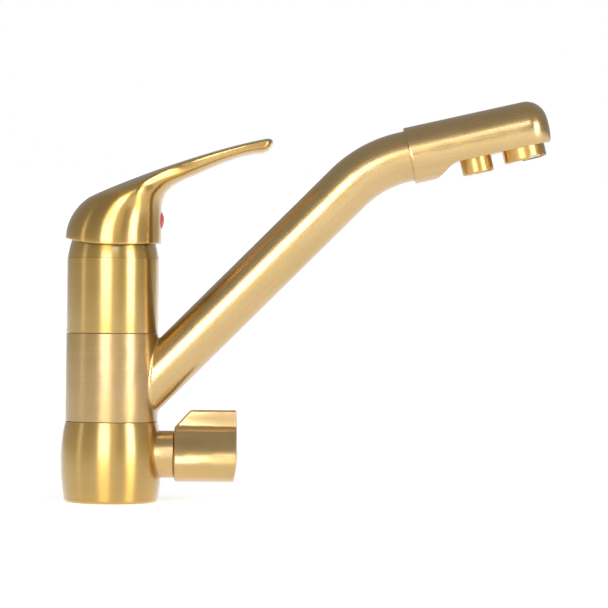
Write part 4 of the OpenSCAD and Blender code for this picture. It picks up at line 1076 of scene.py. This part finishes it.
# CAD nodes that keep their own shape
OWN_FINISH = {
    TURNED_BRASS: [
        "retaining_nut", "cartridge_stem", "valve_headwork", "valve_spindle", "mixed_outlet_ring",
        "filtered_outlet_ring",
    ],
    RUBBER: [
        "base_gasket", "column_o_rings", "passage_seals", "cartridge_seals", "head_seal",
        "mixed_outlet_washer", "filtered_outlet_washer", "valve_seat_seal", "spindle_o_ring",
    ],
    NYLON: [
        "lower_slip_ring", "upper_slip_ring", "cartridge_foot", "cartridge_case", "disc_carrier",
        "cartridge_rotor", "filtered_water_tube", "mixed_outlet_insert", "filtered_outlet_insert",
    ],
    CERAMIC: ["fixed_disc", "moving_disc", "valve_fixed_disc", "valve_moving_disc"],
    STEEL: ["pivot_pin", "lever_grub_screw", "knob_grub_screw"],
}
for finish, names in OWN_FINISH.items():
    for node in names:
        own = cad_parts[node]
        own.data.materials.clear()
        own.data.materials.append(finish)


# Floor, backdrop, lamps and camera

def seen_or_mirrored(tree):
    """1 for rays from the camera and for rays off shiny or clear things, else 0."""
    path = tree.nodes.new("ShaderNodeLightPath")
    either = add(tree, "ShaderNodeMath", operation="MAXIMUM")
    tree.links.new(path.outputs["Is Camera Ray"], either.inputs[0])
    tree.links.new(path.outputs["Is Glossy Ray"], either.inputs[1])
    last = add(tree, "ShaderNodeMath", operation="MAXIMUM")
    tree.links.new(either.outputs[0], last.inputs[0])
    tree.links.new(path.outputs["Is Transmission Ray"], last.inputs[1])
    return last.outputs[0]


def pale_stage(name, glow):
    """Matt pale finish that glows by that much for the eye and for mirrored rays alone."""
    material, tree, shader = nodes_of(name)
    shader.inputs["Base Color"].default_value = (0.8, 0.8, 0.8, 1)
    shader.inputs["Roughness"].default_value = 0.9
    shader.inputs["Specular IOR Level"].default_value = 0
    shader.inputs["Emission Color"].default_value = (1, 1, 1, 1)
    level = add(tree, "ShaderNodeMath", operation="MULTIPLY")
    level.inputs[1].default_value = glow
    tree.links.new(seen_or_mirrored(tree), level.inputs[0])
    tree.links.new(level.outputs[0], shader.inputs["Emission Strength"])
    return material


def flat_sheet(name, corners, material):
    """One flat face of the stage."""
    bm = bmesh.new()
    bm.faces.new([bm.verts.new(c) for c in corners])
    mesh = bpy.data.meshes.new(name)
    bm.to_mesh(mesh)
    bm.free()
    mesh.materials.append(material)
    sheet = bpy.data.objects.new(name, mesh)
    bpy.context.scene.collection.objects.link(sheet)


# Sizes of the stage in metres. The rear sheet hides the backdrop's dim back in views from behind.
FLOOR = 6
BACK_LEFT = -0.35
BACK_RIGHT = 0.6
BACK_HIGH = 0.2
BACK_Y = 0.7
REAR_Y = 0.71

flat_sheet(
    "floor", [(-FLOOR, -FLOOR, 0), (FLOOR, -FLOOR, 0), (FLOOR, FLOOR, 0), (-FLOOR, FLOOR, 0)],
    pale_stage("floor_white", 0.65),
)
flat_sheet("backdrop", [
    (BACK_LEFT, BACK_Y, 0), (BACK_RIGHT, BACK_Y, 0), (BACK_RIGHT, BACK_Y, BACK_HIGH),
    (BACK_LEFT, BACK_Y, BACK_HIGH),
], pale_stage("backdrop_white", 0.4))
flat_sheet("backdrop_rear", [
    (BACK_RIGHT, REAR_Y, 0), (BACK_LEFT, REAR_Y, 0), (BACK_LEFT, REAR_Y, BACK_HIGH),
    (BACK_RIGHT, REAR_Y, BACK_HIGH),
], pale_stage("rear_white", 0.8))

# Strengths of the world: what lights and is mirrored by the tap, and what the camera sees
SURROUND = 0.34
WHITE = 1.0

world = bpy.data.worlds.new("studio")
bpy.context.scene.world = world
world.use_nodes = True
surround = world.node_tree.nodes["Background"]
path = world.node_tree.nodes.new("ShaderNodeLightPath")
level = add(world.node_tree, "ShaderNodeMapRange")
level.inputs["To Min"].default_value = SURROUND
level.inputs["To Max"].default_value = WHITE
world.node_tree.links.new(path.outputs["Is Camera Ray"], level.inputs["Value"])
surround.inputs["Color"].default_value = (1, 1, 1, 1)
world.node_tree.links.new(level.outputs["Result"], surround.inputs["Strength"])


# The tap's middle in metres, which every lamp faces
MIDDLE = Vector((0.06, 0, 0.1))


def softbox(name, azimuth, elevation, distance, wide, high, radiance):
    """Soft area lamp that faces the tap's middle.

    Azimuth 0 is the camera's side, and right is positive. Sizes are in metres."""
    lamp = bpy.data.lights.new(name, "AREA")
    lamp.shape = "RECTANGLE"
    lamp.size = wide
    lamp.size_y = high
    lamp.energy = radiance * math.pi * wide * high
    thing = bpy.data.objects.new(name, lamp)
    bpy.context.scene.collection.objects.link(thing)
    a, e = math.radians(azimuth), math.radians(elevation)
    away = Vector((math.sin(a) * math.cos(e), -math.cos(a) * math.cos(e), math.sin(e)))
    thing.location = MIDDLE + away * distance
    thing.rotation_euler = away.to_track_quat("Z", "Y").to_euler()


softbox("key", -15, 9, distance=2.2, wide=0.95, high=1.2, radiance=6.5)
softbox("right_strip", 48, 10, distance=1.6, wide=0.48, high=1.0, radiance=8.5)
softbox("left_strip", -76, 8, distance=1.6, wide=0.16, high=1.1, radiance=1.6)
softbox("upper_front", 8, 30, distance=1.9, wide=0.45, high=0.3, radiance=4.5)

# Camera in metres, level at half the tap's height, with the photograph's slight roll
CAMERA_X = 0.0998
CAMERA_AWAY = 1.56
CAMERA_Z = 0.1042
CAMERA_ROLL = -0.6
CAMERA_LENS = 177
SENSOR_WIDTH = 36

camera = bpy.data.cameras.new("camera")
camera.sensor_width = SENSOR_WIDTH
camera.lens = CAMERA_LENS
camera_thing = bpy.data.objects.new("camera", camera)
bpy.context.scene.collection.objects.link(camera_thing)
camera_thing.location = (CAMERA_X, -CAMERA_AWAY, CAMERA_Z)
camera_thing.rotation_euler = (math.radians(90), math.radians(CAMERA_ROLL), 0)
bpy.context.scene.camera = camera_thing
bpy.context.scene.view_settings.view_transform = "Standard"
